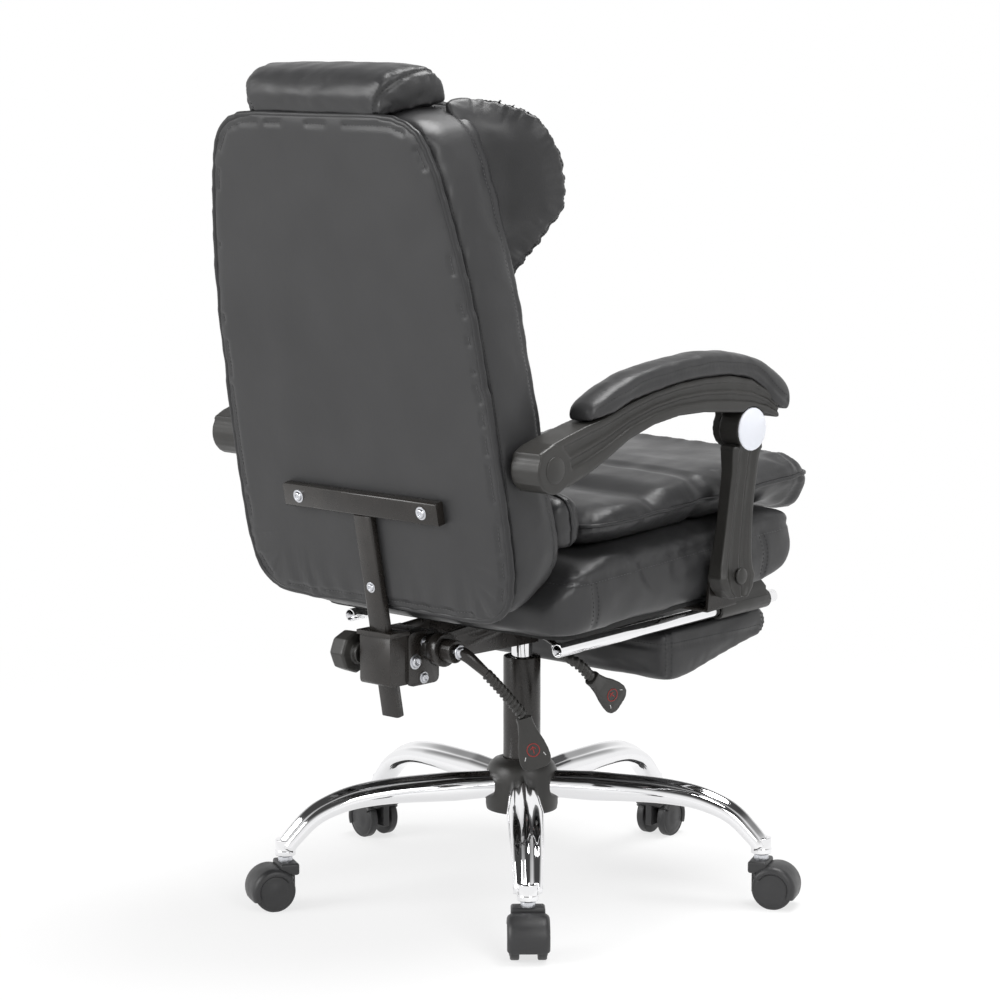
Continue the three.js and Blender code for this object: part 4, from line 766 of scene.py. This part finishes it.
def sewn(name, piece, lines, body, look=thread):
    """Rows of short threads along lines, laid on the surface of a piece."""
    bm = bmesh.new()
    bmesh.ops.create_uvsphere(bm, u_segments=6, v_segments=3, radius=1)
    bmesh.ops.scale(bm, verts=bm.verts, vec=(stitch_radius, stitch_radius, stitch_length / 2))
    thread_mesh = bpy.data.meshes.new("one_stitch")
    bm.to_mesh(thread_mesh)
    bm.clear()
    surface = surface_of(piece)
    for line in lines:
        spots = even_line(line, max(3, round(length_of(line) / stitch_spacing)))
        for a, b in zip(spots, spots[1:]):
            place, facing = surface.find_nearest((a + b) / 2)[:2]
            one = thread_mesh.copy()
            one.transform(toward(b - a, place + facing * stitch_lift))
            bm.from_mesh(one)
            bpy.data.meshes.remove(one)
    bpy.data.meshes.remove(thread_mesh)
    dress(from_bmesh(name, bm), body, look)


cushion_seam_height = 0.078
corner_seam_places = (0.128, -0.215)
corner_seam_foot = 0.012
cross_seam_place, front_seam_place = -0.105, -0.31
pad_seam_height = 0.137
pad_nose = 0.075


def seat_soft():
    along, up = (seat_axes.to_3x3() @ axis for axis in (forwards, upwards))
    cushion = copied("seat_cushion", "base_cushion")
    reshaped(cushion, seat_axes, lambda x, depth, height: (x, -depth - 0.09 * max(0, depth - 0.15), height))
    stuffed(cushion, 0.0075, 0.006)
    side_seam = seam_loop(cushion, seat_axes @ Vector((0, 0, cushion_seam_height)), up)
    puckered(cushion, [side_seam], 0.05, 0.0012, 0.034, 2)
    rumpled(cushion, 0.16, 0.0016, 3)
    creased(cushion, [side_seam], 0.008, 0.0022)
    corner_seams = []
    for hand in (-1, 1):
        for y in corner_seam_places:
            rise = (cushion_seam_height - corner_seam_foot) / 12
            line = [seat_axes @ Vector((hand * 0.25, y, corner_seam_foot + rise * k)) for k in range(13)]
            corner_seams.append(laid_on(cushion, line))
    creased(cushion, corner_seams, 0.008, 0.002)
    dress(cushion, "lift", leather, "seat_cushion", fill=0.8)
    sewn("cushion_seam_stitches", cushion, [beside(side_seam, -up * row_beside)], "lift", grey_row_thread)
    sewn("cushion_stitches", cushion, double_rows(cushion, corner_seams, along), "lift")

    pad = copied("seat_pad", "top_pad")

    # The front edge is stuffed into a round nose
    tip = max(-(seat_axes.inverted() @ vert.co).y for vert in pad.data.vertices)

    def fuller_front(x, depth, height):
        front = min(0.72, max(0, 1 - (tip - depth) / pad_nose))
        return x, -depth, pad_seam_height + (height - pad_seam_height) / math.sqrt(1 - front)

    reshaped(pad, seat_axes, fuller_front)
    stuffed(pad, 0.006, 0.005, 1)
    edge = seam_loop(pad, seat_axes @ Vector((0, 0, pad_seam_height)), up)
    cross, front = (seam_loop(pad, seat_axes @ Vector((0, place, 0.16)), along)
                    for place in (cross_seam_place, front_seam_place))
    puckered(pad, [cross], 0.06, 0.0008, 0.06, 11)
    puckered(pad, [front], 0.045, 0.0012, 0.034, 6)
    puckered(pad, [edge], 0.045, 0.001, 0.03, 5)
    rumpled(pad, 0.2, 0.0016, 9)
    creased(pad, [cross], 0.02, 0.0032)
    creased(pad, [front], 0.01, 0.0022)
    dress(pad, "lift", leather, "seat_pad", fill=0.7)
    piped("pad_piping", pad, edge, "lift")
    finish_node("seat_board", lining)


def footrest_soft():
    low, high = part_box("footrest_pad")
    pad = copied("footrest_pad", "foot_pad")
    fuller = 1.02
    reshaped(pad, Matrix.Translation((low + high) / 2),
             lambda x, depth, height: (x * fuller, -depth * fuller, height))
    stuffed(pad, 0.005, 0.002, 1)
    seam = seam_loop(pad, Vector((0, 0, low.z + (high.z - low.z) * 0.62)), upwards)
    corners = []
    for x in (low.x, high.x):
        for y in (low.y + 0.016, high.y - 0.016):
            line = [Vector((x, y, low.z + 0.006 + (high.z - low.z - 0.012) * k / 10)) for k in range(11)]
            corners.append(laid_on(pad, line))
    rumpled(pad, 0.2, 0.0008, 4)
    creased(pad, [seam], 0.007, 0.0014)
    creased(pad, corners, 0.006, 0.0016)
    dress(pad, "footrest", leather, "footrest_pad", fill=0.8)
    rows = [beside(seam, upwards * row_gap)] + double_rows(pad, corners, forwards)
    sewn("footrest_stitches", pad, rows, "footrest")


# Soft pieces of the back
def back_point(x, depth, height):
    return back_axes @ Vector((x, -depth, height))


back_facing = back_axes.to_3x3() @ forwards
back_up = back_axes.to_3x3() @ upwards
wing_rim = [(-0.143, 0.118, 0.648), (-0.150, 0.125, 0.645), (-0.180, 0.145, 0.638), (-0.205, 0.159, 0.625),
            (-0.222, 0.166, 0.606), (-0.230, 0.177, 0.580), (-0.230, 0.187, 0.548), (-0.230, 0.187, 0.507),
            (-0.228, 0.176, 0.483), (-0.224, 0.148, 0.451), (-0.218, 0.122, 0.407), (-0.212, 0.103, 0.378)]


def back_panel():
    panel = stuffed(copied("back_panel", "rear_panel"), 0.006, 0.002, 1)
    outline = seam_loop(panel, back_point(0, 0.0055, 0), back_facing)
    stitched = laid_on(panel, inner_line(outline, back_facing, 0.0105))
    low_edge = [spot for spot in outline if (spot - back_foot).dot(back_up) < 0.09]
    puckered(panel, [low_edge], 0.085, 0.0016, 0.037, 1)
    rumpled(panel, 0.24, 0.0016, 1)
    creased(panel, [stitched], 0.007, 0.002)
    dress(panel, "back", leather, "back_panel", fill=0.9)
    dress(swept("back_piping", outline, 0.0042, 12, closed=True), "back", piping_leather_painted_shade)
    sewn("panel_stitches", panel, [stitched], "back", grey_row_thread)


def back_shell():
    cushion = copied("back_cushion", "back_shell")

    # Deeper towards the top, and bulging past the piping at its sides
    def deepened(x, depth, height):
        front = max(0, min(1, (depth - 0.06) / 0.03))
        higher = max(0, min(1, (height - 0.36) / 0.27))
        bulge = math.sin(math.pi * max(0, min(1, depth / 0.1)))
        return x * (1 + 0.02 * bulge), -depth - front * (0.003 + 0.011 * higher), height

    reshaped(cushion, back_axes, deepened)
    stuffed(cushion, 0.0075, 0.006, 1, slack=0.3)
    front_seam = seam_loop(cushion, back_point(0, 0.087, 0), back_facing)
    rear_seam = seam_loop(cushion, back_point(0, 0.0185, 0), back_facing)
    puckered(cushion, [front_seam], 0.05, 0.0009, 0.045, 8)
    rumpled(cushion, 0.17, 0.0018, 6)
    creased(cushion, [front_seam], 0.007, 0.0022)
    dress(cushion, "back", leather, "back_cushion", fill=0.8)
    sewn("shell_rear_stitches", cushion, [rear_seam], "back")
    row = beside(front_seam, -back_facing * row_beside)
    sewn("shell_front_stitches", cushion, [row], "back", grey_row_thread)


channel_height = 0.2575
roll_foot = 0.647
roll_seam = 0.112
wing_root, wing_inside = 0.098, 0.158


def front_pads():
    """Lumbar roll, channelled pad and head pad, which the sitter leans on."""
    for node, name, seed in (("lumbar_roll", "lumbar_pillow", 13), ("back_pad", "front_pad", 9),
                             ("head_pad", "head_pillow", 11)):
        pad = stuffed(copied(node, name), 0.0062, 0.006)
        low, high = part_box(node)
        middle = (low + high) / 2
        around = seam_loop(pad, middle + back_facing * 0.002, back_facing)
        puckered(pad, [around], 0.045, 0.0018, 0.028, seed)
        rumpled(pad, 0.1, 0.0018, seed)
        creased(pad, [around], 0.007, 0.002)
        if node == "back_pad":
            channel = seam_loop(pad, back_point(0, 0, channel_height), back_up)
            creased(pad, [channel], 0.012, 0.004)
        dress(pad, "back", leather, node, fill=0.7)
        piped(f"{name}_piping", pad, around, "back", 0.0022)


def top_roll():
    roll = copied("head_roll", "top_roll")

    # The roll's foot sinks into the back, and its ends are drawn out along it
    def seated(x, depth, height):
        down = max(0, 1 - (height - roll_foot) / 0.02)
        return x * (1.06 + 0.07 * max(0, 1 - depth / 0.09)), -depth, height - 0.01 * down

    reshaped(roll, back_axes, seated)
    stuffed(roll, 0.0045, 0.003, 1)
    seams = []
    for hand in (-1, 1):
        place = back_point(hand * roll_seam, 0, roll_foot + 0.008)
        facing = (back_axes.to_3x3() @ Vector((hand, 0.15, -0.42))).normalized()
        seams.append(seam_loop(roll, place, facing, 0.004))
    puckered(roll, seams, 0.04, 0.0016, 0.022, 3)
    rumpled(roll, 0.09, 0.0016, 8)
    creased(roll, seams, 0.006, 0.0022)
    dress(roll, "back", leather, "head_roll", fill=0.85)
    rows = [beside(seam, -sideways * hand * row_gap) for hand, seam in zip((-1, 1), seams)]
    sewn("roll_stitches", roll, rows, "back")


def head_wings():
    for side, hand in (("right", 1), ("left", -1)):
        wing = copied(f"head_wing_{side}", f"wing_pillow_{side}")

        # The root is sewn on further back, inside the edge of the back, and the rim is drawn out
        def sewn_on(x, depth, height):
            root = max(0, 1 - (depth - wing_root) / 0.03)
            rim = min(1, max(0, (depth - 0.11) / 0.06))
            thin = max(0, min(1, 1 - (depth - 0.1) / 0.06)) * 0.8
            across = abs(x) - thin * max(0, abs(x) - wing_inside)
            return math.copysign(across * (1 + 0.016 * rim), x), -depth + 0.02 * root - 0.004 * rim, height

        reshaped(wing, back_axes, sewn_on)
        stuffed(wing, 0.0048, 0.004, 1)
        line = smooth_line([back_point(x * hand, depth, height) for x, depth, height in wing_rim], 160)
        rim = laid_on(wing, line)
        rumpled(wing, 0.14, 0.0022, 12 + hand)
        puckered(wing, [rim], 0.034, 0.0018, 0.018, 20 + hand)
        creased(wing, [rim], 0.006, 0.002)
        dress(wing, "back", leather, f"head_wing_{side}", fill=0.7)
        sewn(f"wing_stitches_{side}", wing, [laid_on(wing, line)], "back")


# Rigid pieces under the seat and behind the back
steel_pieces = [
    ("lift", painted, 0.0008, ["seat_mechanism", "arm_foot_right", "arm_foot_left"]),
    ("lift", painted, 0.001, ["recliner_disc"]), ("lift", zinc, 0.0006, ["hinge_shaft"]),
    ("back", painted, 0.0012, ["back_bracket"]), ("back", painted, 0.0008, ["back_post"]),
    ("back", painted, 0.001, ["back_bar"]), ("back", zinc, 0.0005, ["arm_pin_right", "arm_pin_left"]),
    ("footrest", plastic, 0.001, ["footrest_board"]),
    ("lift", plastic, 0.001, ["footrest_guide_right", "footrest_guide_left"])]
bright_tubes = ["footrest_rail_right", "footrest_rail_left", "footrest_crossbar"]


def steelwork():
    for body, look, edge, pieces in steel_pieces:
        for node in pieces:
            dress(softened(node, f"{node}_finished", edge), body, look, node)
    for node in bright_tubes:
        dress(softened(node, f"{node}_plated", 0.0004), "footrest_slider", chrome, node)
    dress(moulded("hand_knob", "lobed_knob", 0.0011), "knob", plastic, "hand_knob")


lever_span = 100.28
grip_radius = 0.0076
grip_groove = 0.0022
grip_pitch = 0.0072
blade_share = 0.84
mark_size = 0.0013
mark_spacing = 0.0007
ring_radius, arrow_half, mark_step = 6.5, 3.6, 0.4
sleeve_shares = [(0.02, -0.02, 0.01), (-0.1, -0.08, -0.05), (-0.2, -0.16, -0.16), (-0.245, -0.27, -0.27)]

# Each lever's root, the shares of its grip's route, and its paddle's neck and tip
lever_shapes = {
    "recline": ((-78, 210, 362), [(-0.24, -0.26, -0.26), (-0.285, -0.42, -0.43), (-0.33, -0.58, -0.61),
                                  (-0.4, -0.82, -0.9)],
                at(-118.1, 127.8, 271.7), at(-132.2, 113.7, 199.5)),
    "height": ((-35.2, 0, 384.5), [(-0.608, 0.37, -0.385), (-0.868, 0.52, -0.415), (-1.058, 0.58, -0.465),
                                   (-1.138, 0.5, -0.555), (-1.168, 0.34, -0.715)],
               at(-152.3, 34.1, 312.8), at(-154.3, -34.1, 261.7))}


def lever_route(root, shares, count):
    return smooth_line([at(*(start + share * lever_span for start, share in zip(root, spot)))
                        for spot in shares], count)


def spiral_grip(name, root, shares, body):
    """A grip with two ridges that wind round it."""
    route = lever_route(root, shares, 150)
    turns = length_of(route) / (grip_pitch * 2)

    def radius(share, angle):
        wave = math.cos(2 * angle - full_turn * share * turns * 2)
        swell = min(1, share * 10 + 0.7, (1 - share) * 10 + 0.7)
        return swell * (grip_radius - grip_groove * (0.5 - 0.5 * wave) ** 1.5)

    dress(swept(name, route, radius, 28), body, plastic)


def levers():
    for name, (root, grip_shares, neck, tip) in lever_shapes.items():
        body = f"{name}_handle"
        dress(moulded(f"{name}_lever", f"{name}_lever_rod", 0.0009, 1), body, painted, f"{name}_lever")
        spiral_grip(f"{name}_grip", root, grip_shares, body)
        blade = moulded(f"{name}_paddle", f"{name}_blade", 0.0011)
        drawn_in = Matrix.Scale(blade_share, 4, (tip - neck).normalized())
        blade.data.transform(Matrix.Translation(neck) @ drawn_in @ Matrix.Translation(-neck))
        dress(blade, body, plastic, f"{name}_paddle")
        paddle_marks(name, blade, body, neck, tip)
    sleeve = swept("recline_sleeve", lever_route(lever_shapes["recline"][0], sleeve_shares, 40),
                   lambda share, angle: grip_radius * (1.22 - 0.42 * share), 24)
    dress(sleeve, "recline_handle", painted)


def paddle_marks(name, blade, body, neck, tip):
    """A red ring round an arrow, with white dashes on either side, printed on a paddle's face."""
    along = (tip - neck).normalized()
    facing = Vector((-0.72, 0.62, 0.3))
    facing = (facing - along * facing.dot(along)).normalized()
    across = facing.cross(along)
    middle = neck + along * 0.046

    def printed(label, spots, look, closed=False):
        route = [middle + (across * x + along * y) * mark_size + facing * 0.01 for x, y in spots]
        line = laid_on(blade, route, 0.0001)
        count = max(4, round(length_of(line) / mark_spacing))
        line = even_line(line + line[:1] if closed else line, count, closed)
        dress(swept(f"{name}_{label}", line, 0.0006, 8, closed), body, look)

    turns = [full_turn * k / 40 for k in range(40)]
    ring = [(ring_radius * math.cos(turn), ring_radius * math.sin(turn)) for turn in turns]
    printed("ring_mark", ring, red_paint, closed=True)
    printed("arrow_shaft_mark", [(0, mark_step * k - arrow_half) for k in range(19)], red_paint)
    head = [(mark_step * k, abs(mark_step * k) - arrow_half) for k in range(-7, 8)]
    printed("arrow_head_mark", head, red_paint)
    for number, side in enumerate((-1, 1), 1):
        dash = [(side * (9.5 + 0.35 * k), 5 + 0.5 * k) for k in range(8)]
        printed(f"dash_mark_{number}", dash, white_paint)


def fasteners():
    rear = -back_facing
    for side, hand in both_sides:
        place = back_point(0.109 * hand, -0.0143, 0.1455)
        bolt(f"bar_bolt_{side}", place, rear, 0.0068, 0.0038, "back", 0.0085)
    bolt("post_bolt", back_point(0, -0.0133, 0.035), rear, 0.0055, 0.0034, "back", 0.007)
    for number, (y, z, radius) in enumerate(((219, 370, 0.0062), (237, 347, 0.008), (221, 324, 0.0062)), 1):
        for side, hand in both_sides:
            bolt(f"cheek_bolt_{number}_{side}", at(hand * 31, y, z), sideways * hand, radius, 0.004, "back",
                 radius * 1.25)
    bolt("hinge_bolt", at(-84, 210, 362), -sideways, 0.0075, 0.004, "lift", 0.0095)


# Arms
strut_height = 0.191
strut_side = 0.2715
waist_end = 0.86
pad_front, pad_rear = -0.124, 0.04
front_pivot_y, foot_pivot_y, foot_pivot_z = -124, -107, 444

# Round covers on the pivots: the body that each rides, its place, profile and steps
pivot_covers = {
    "foot": ("strut", (287.5, foot_pivot_y, foot_pivot_z),
             [(0, 0.0035), (0.007, 0.003), (0.0105, 0.0012), (0.0112, -0.001), (0, -0.001)], 40),
    "rear": ("arm", (290.3, 260, 620),
             [(0, 0.0022), (0.012, 0.0018), (0.0165, 0.0004), (0.017, -0.001), (0, -0.001)], 48)}


def slimmer(x, depth, height):
    """The strut's waist drawn in, between its head and its foot."""
    share = min(1, max(0, height / strut_height))
    middle = 0.0185 - 0.0175 * share
    waist = math.sin(math.pi * share / waist_end) ** 0.6 if 0 < share < waist_end else 0
    inward = strut_side - 0.0035 * waist
    return (math.copysign(inward + (abs(x) - strut_side) * (1 - 0.22 * waist), x),
            middle + (-depth - middle) * (1 - 0.26 * waist), height)


def shorter(x, depth, height):
    """The arm pad drawn in at both ends, where it follows the beam."""
    y = -depth
    if y < pad_front:
        return x, pad_front + (y - pad_front) * 0.79, height
    if y > pad_rear:
        return x, pad_rear + (y - pad_rear) * 0.85, height + (y - pad_rear) * 0.03
    return x, y, height


def arms():
    for side, hand in both_sides:
        beam = moulded(f"arm_beam_{side}", f"arm_bow_{side}", 0.0016, 1)
        dress(beam, f"arm_{side}", plastic, f"arm_beam_{side}")
        strut = moulded(f"arm_strut_{side}", f"arm_leg_{side}", 0.0015, 1)
        reshaped(strut, Matrix.Translation(at(0, front_pivot_y, foot_pivot_z)), slimmer)
        dress(strut, f"strut_{side}", plastic, f"arm_strut_{side}")
        cap = softened(f"arm_cap_{side}", f"pivot_cap_{side}", 0.0008, 3)
        dress(cap, f"strut_{side}", pale, f"arm_cap_{side}")
        pad = reshaped(copied(f"arm_pad_{side}", f"arm_cushion_{side}"), Matrix.Translation(chair), shorter)
        stuffed(pad, 0.0045, 0.0025, 1)
        seams = [side_line(pad, sideways, forwards, 0.36, edge) for edge in (-1, 1)]
        rumpled(pad, 0.07, 0.0009, 2)
        creased(pad, seams, 0.006, 0.0018)
        dress(pad, f"arm_{side}", leather, f"arm_pad_{side}", fill=0.9)
        rows = [laid_on(pad, beside(seam, upwards * row_beside)) for seam in seams]
        sewn(f"arm_stitches_{side}", pad, rows, f"arm_{side}")
        for end, (body, (x, y, z), profile, steps) in pivot_covers.items():
            cover = turned(f"{end}_cover_{side}", profile, at(hand * x, y, z), sideways * hand, steps)
            dress(cover, f"{body}_{side}", plastic)


base_star()
gas_column()
for number, angle in enumerate(leg_turns, 1):
    caster(number, angle)
seat_soft()
footrest_soft()
back_panel()
back_shell()
front_pads()
top_roll()
head_wings()
steelwork()
levers()
fasteners()
arms()


# Floor, light and the photograph's camera
def reckoned(tree, operation, first, second):
    """The result of a sum on two outputs, or on an output and a number."""
    node = added(tree, "Math")
    node.operation = operation
    for socket, value in zip(node.inputs, (first, second)):
        if isinstance(value, float):
            socket.default_value = value
        else:
            tree.links.new(value, socket)
    return node.outputs["Value"]


def pale_floor():
    """Catches the shadows near the chair and fades to white away from it, to all but diffuse light."""
    bm = bmesh.new()
    bmesh.ops.create_grid(bm, x_segments=1, y_segments=1, size=30)
    floor = from_bmesh("floor", bm)
    look = material("pale_floor", (0.9, 0.9, 0.9), 0.8, Specular_IOR_Level=0.2)
    tree = look.node_tree
    shader = tree.nodes["Principled BSDF"]
    even = added(tree, "Emission", Color=(1, 1, 1, 1))
    away = placed(tree, added(tree, "VectorMath"))
    away.operation = "LENGTH"
    fade = ranged(tree, away.outputs["Value"], 0.5, 1.9, 0.72, 1, "SMOOTHSTEP")
    path = added(tree, "LightPath").outputs
    seen = reckoned(tree, "MAXIMUM", path["Is Camera Ray"], path["Is Glossy Ray"])
    seen = reckoned(tree, "MAXIMUM", seen, path["Is Transmission Ray"])
    mix = added(tree, "MixShader")
    tree.links.new(reckoned(tree, "MULTIPLY", fade, seen), mix.inputs["Fac"])
    tree.links.new(shader.outputs["BSDF"], mix.inputs[1])
    tree.links.new(even.outputs["Emission"], mix.inputs[2])
    tree.links.new(mix.outputs["Shader"], tree.nodes["Material Output"].inputs["Surface"])
    floor.data.materials.append(look)


room_light = 0.34


def pale_room():
    """White to the camera; shiny things see it white at eye level and dark overhead."""
    world = bpy.data.worlds.new("studio")
    bpy.context.scene.world = world
    world.use_nodes = True
    tree = world.node_tree
    background = set_up(tree.nodes["Background"], Color=(1, 1, 1, 1))
    parts = placed(tree, added(tree, "SeparateXYZ"), "Generated")
    overhead = ranged(tree, parts.outputs["Z"], 0.25, 0.8, 1, 0.06, "SMOOTHSTEP")
    path = added(tree, "LightPath").outputs
    shiny = reckoned(tree, "MULTIPLY", path["Is Glossy Ray"], overhead)
    light = reckoned(tree, "MULTIPLY", path["Is Diffuse Ray"], room_light)
    seen = reckoned(tree, "MAXIMUM", path["Is Camera Ray"], shiny)
    tree.links.new(reckoned(tree, "MAXIMUM", seen, light), background.inputs["Strength"])


def soft_lamp(name, place, goal, width, power):
    data = bpy.data.lights.new(name, "AREA")
    data.shape = "SQUARE"
    data.size = width
    data.energy = power
    lamp = new_object(name, data)
    lamp.location = place
    lamp.rotation_euler = (Vector(goal) - Vector(place)).to_track_quat("-Z", "Y").to_euler()


pale_floor()
pale_room()
middle = Vector((0, 0, 0.6))
soft_lamp("key", (-3.4, 1.2, 2.6), middle, 1.8, 56)
soft_lamp("fill", (1.6, 3.4, 2.2), middle, 2.2, 105)
soft_lamp("top", (-0.4, -0.6, 3.4), middle, 1.6, 110)

sensor_width = 36
focal_share = 3.263
camera_data = bpy.data.cameras.new("camera")
camera_data.sensor_width = sensor_width
camera_data.lens = sensor_width * focal_share
camera = new_object("camera", camera_data)
camera.location = chair + Vector((-2.8803, 3.1775, 1.1617))
camera_facing = Vector((0.66937, -0.72835, -0.14643))
camera.rotation_euler = camera_facing.to_track_quat("-Z", "Y").to_euler()
bpy.context.scene.camera = camera
bpy.context.scene.view_settings.view_transform = "Standard"
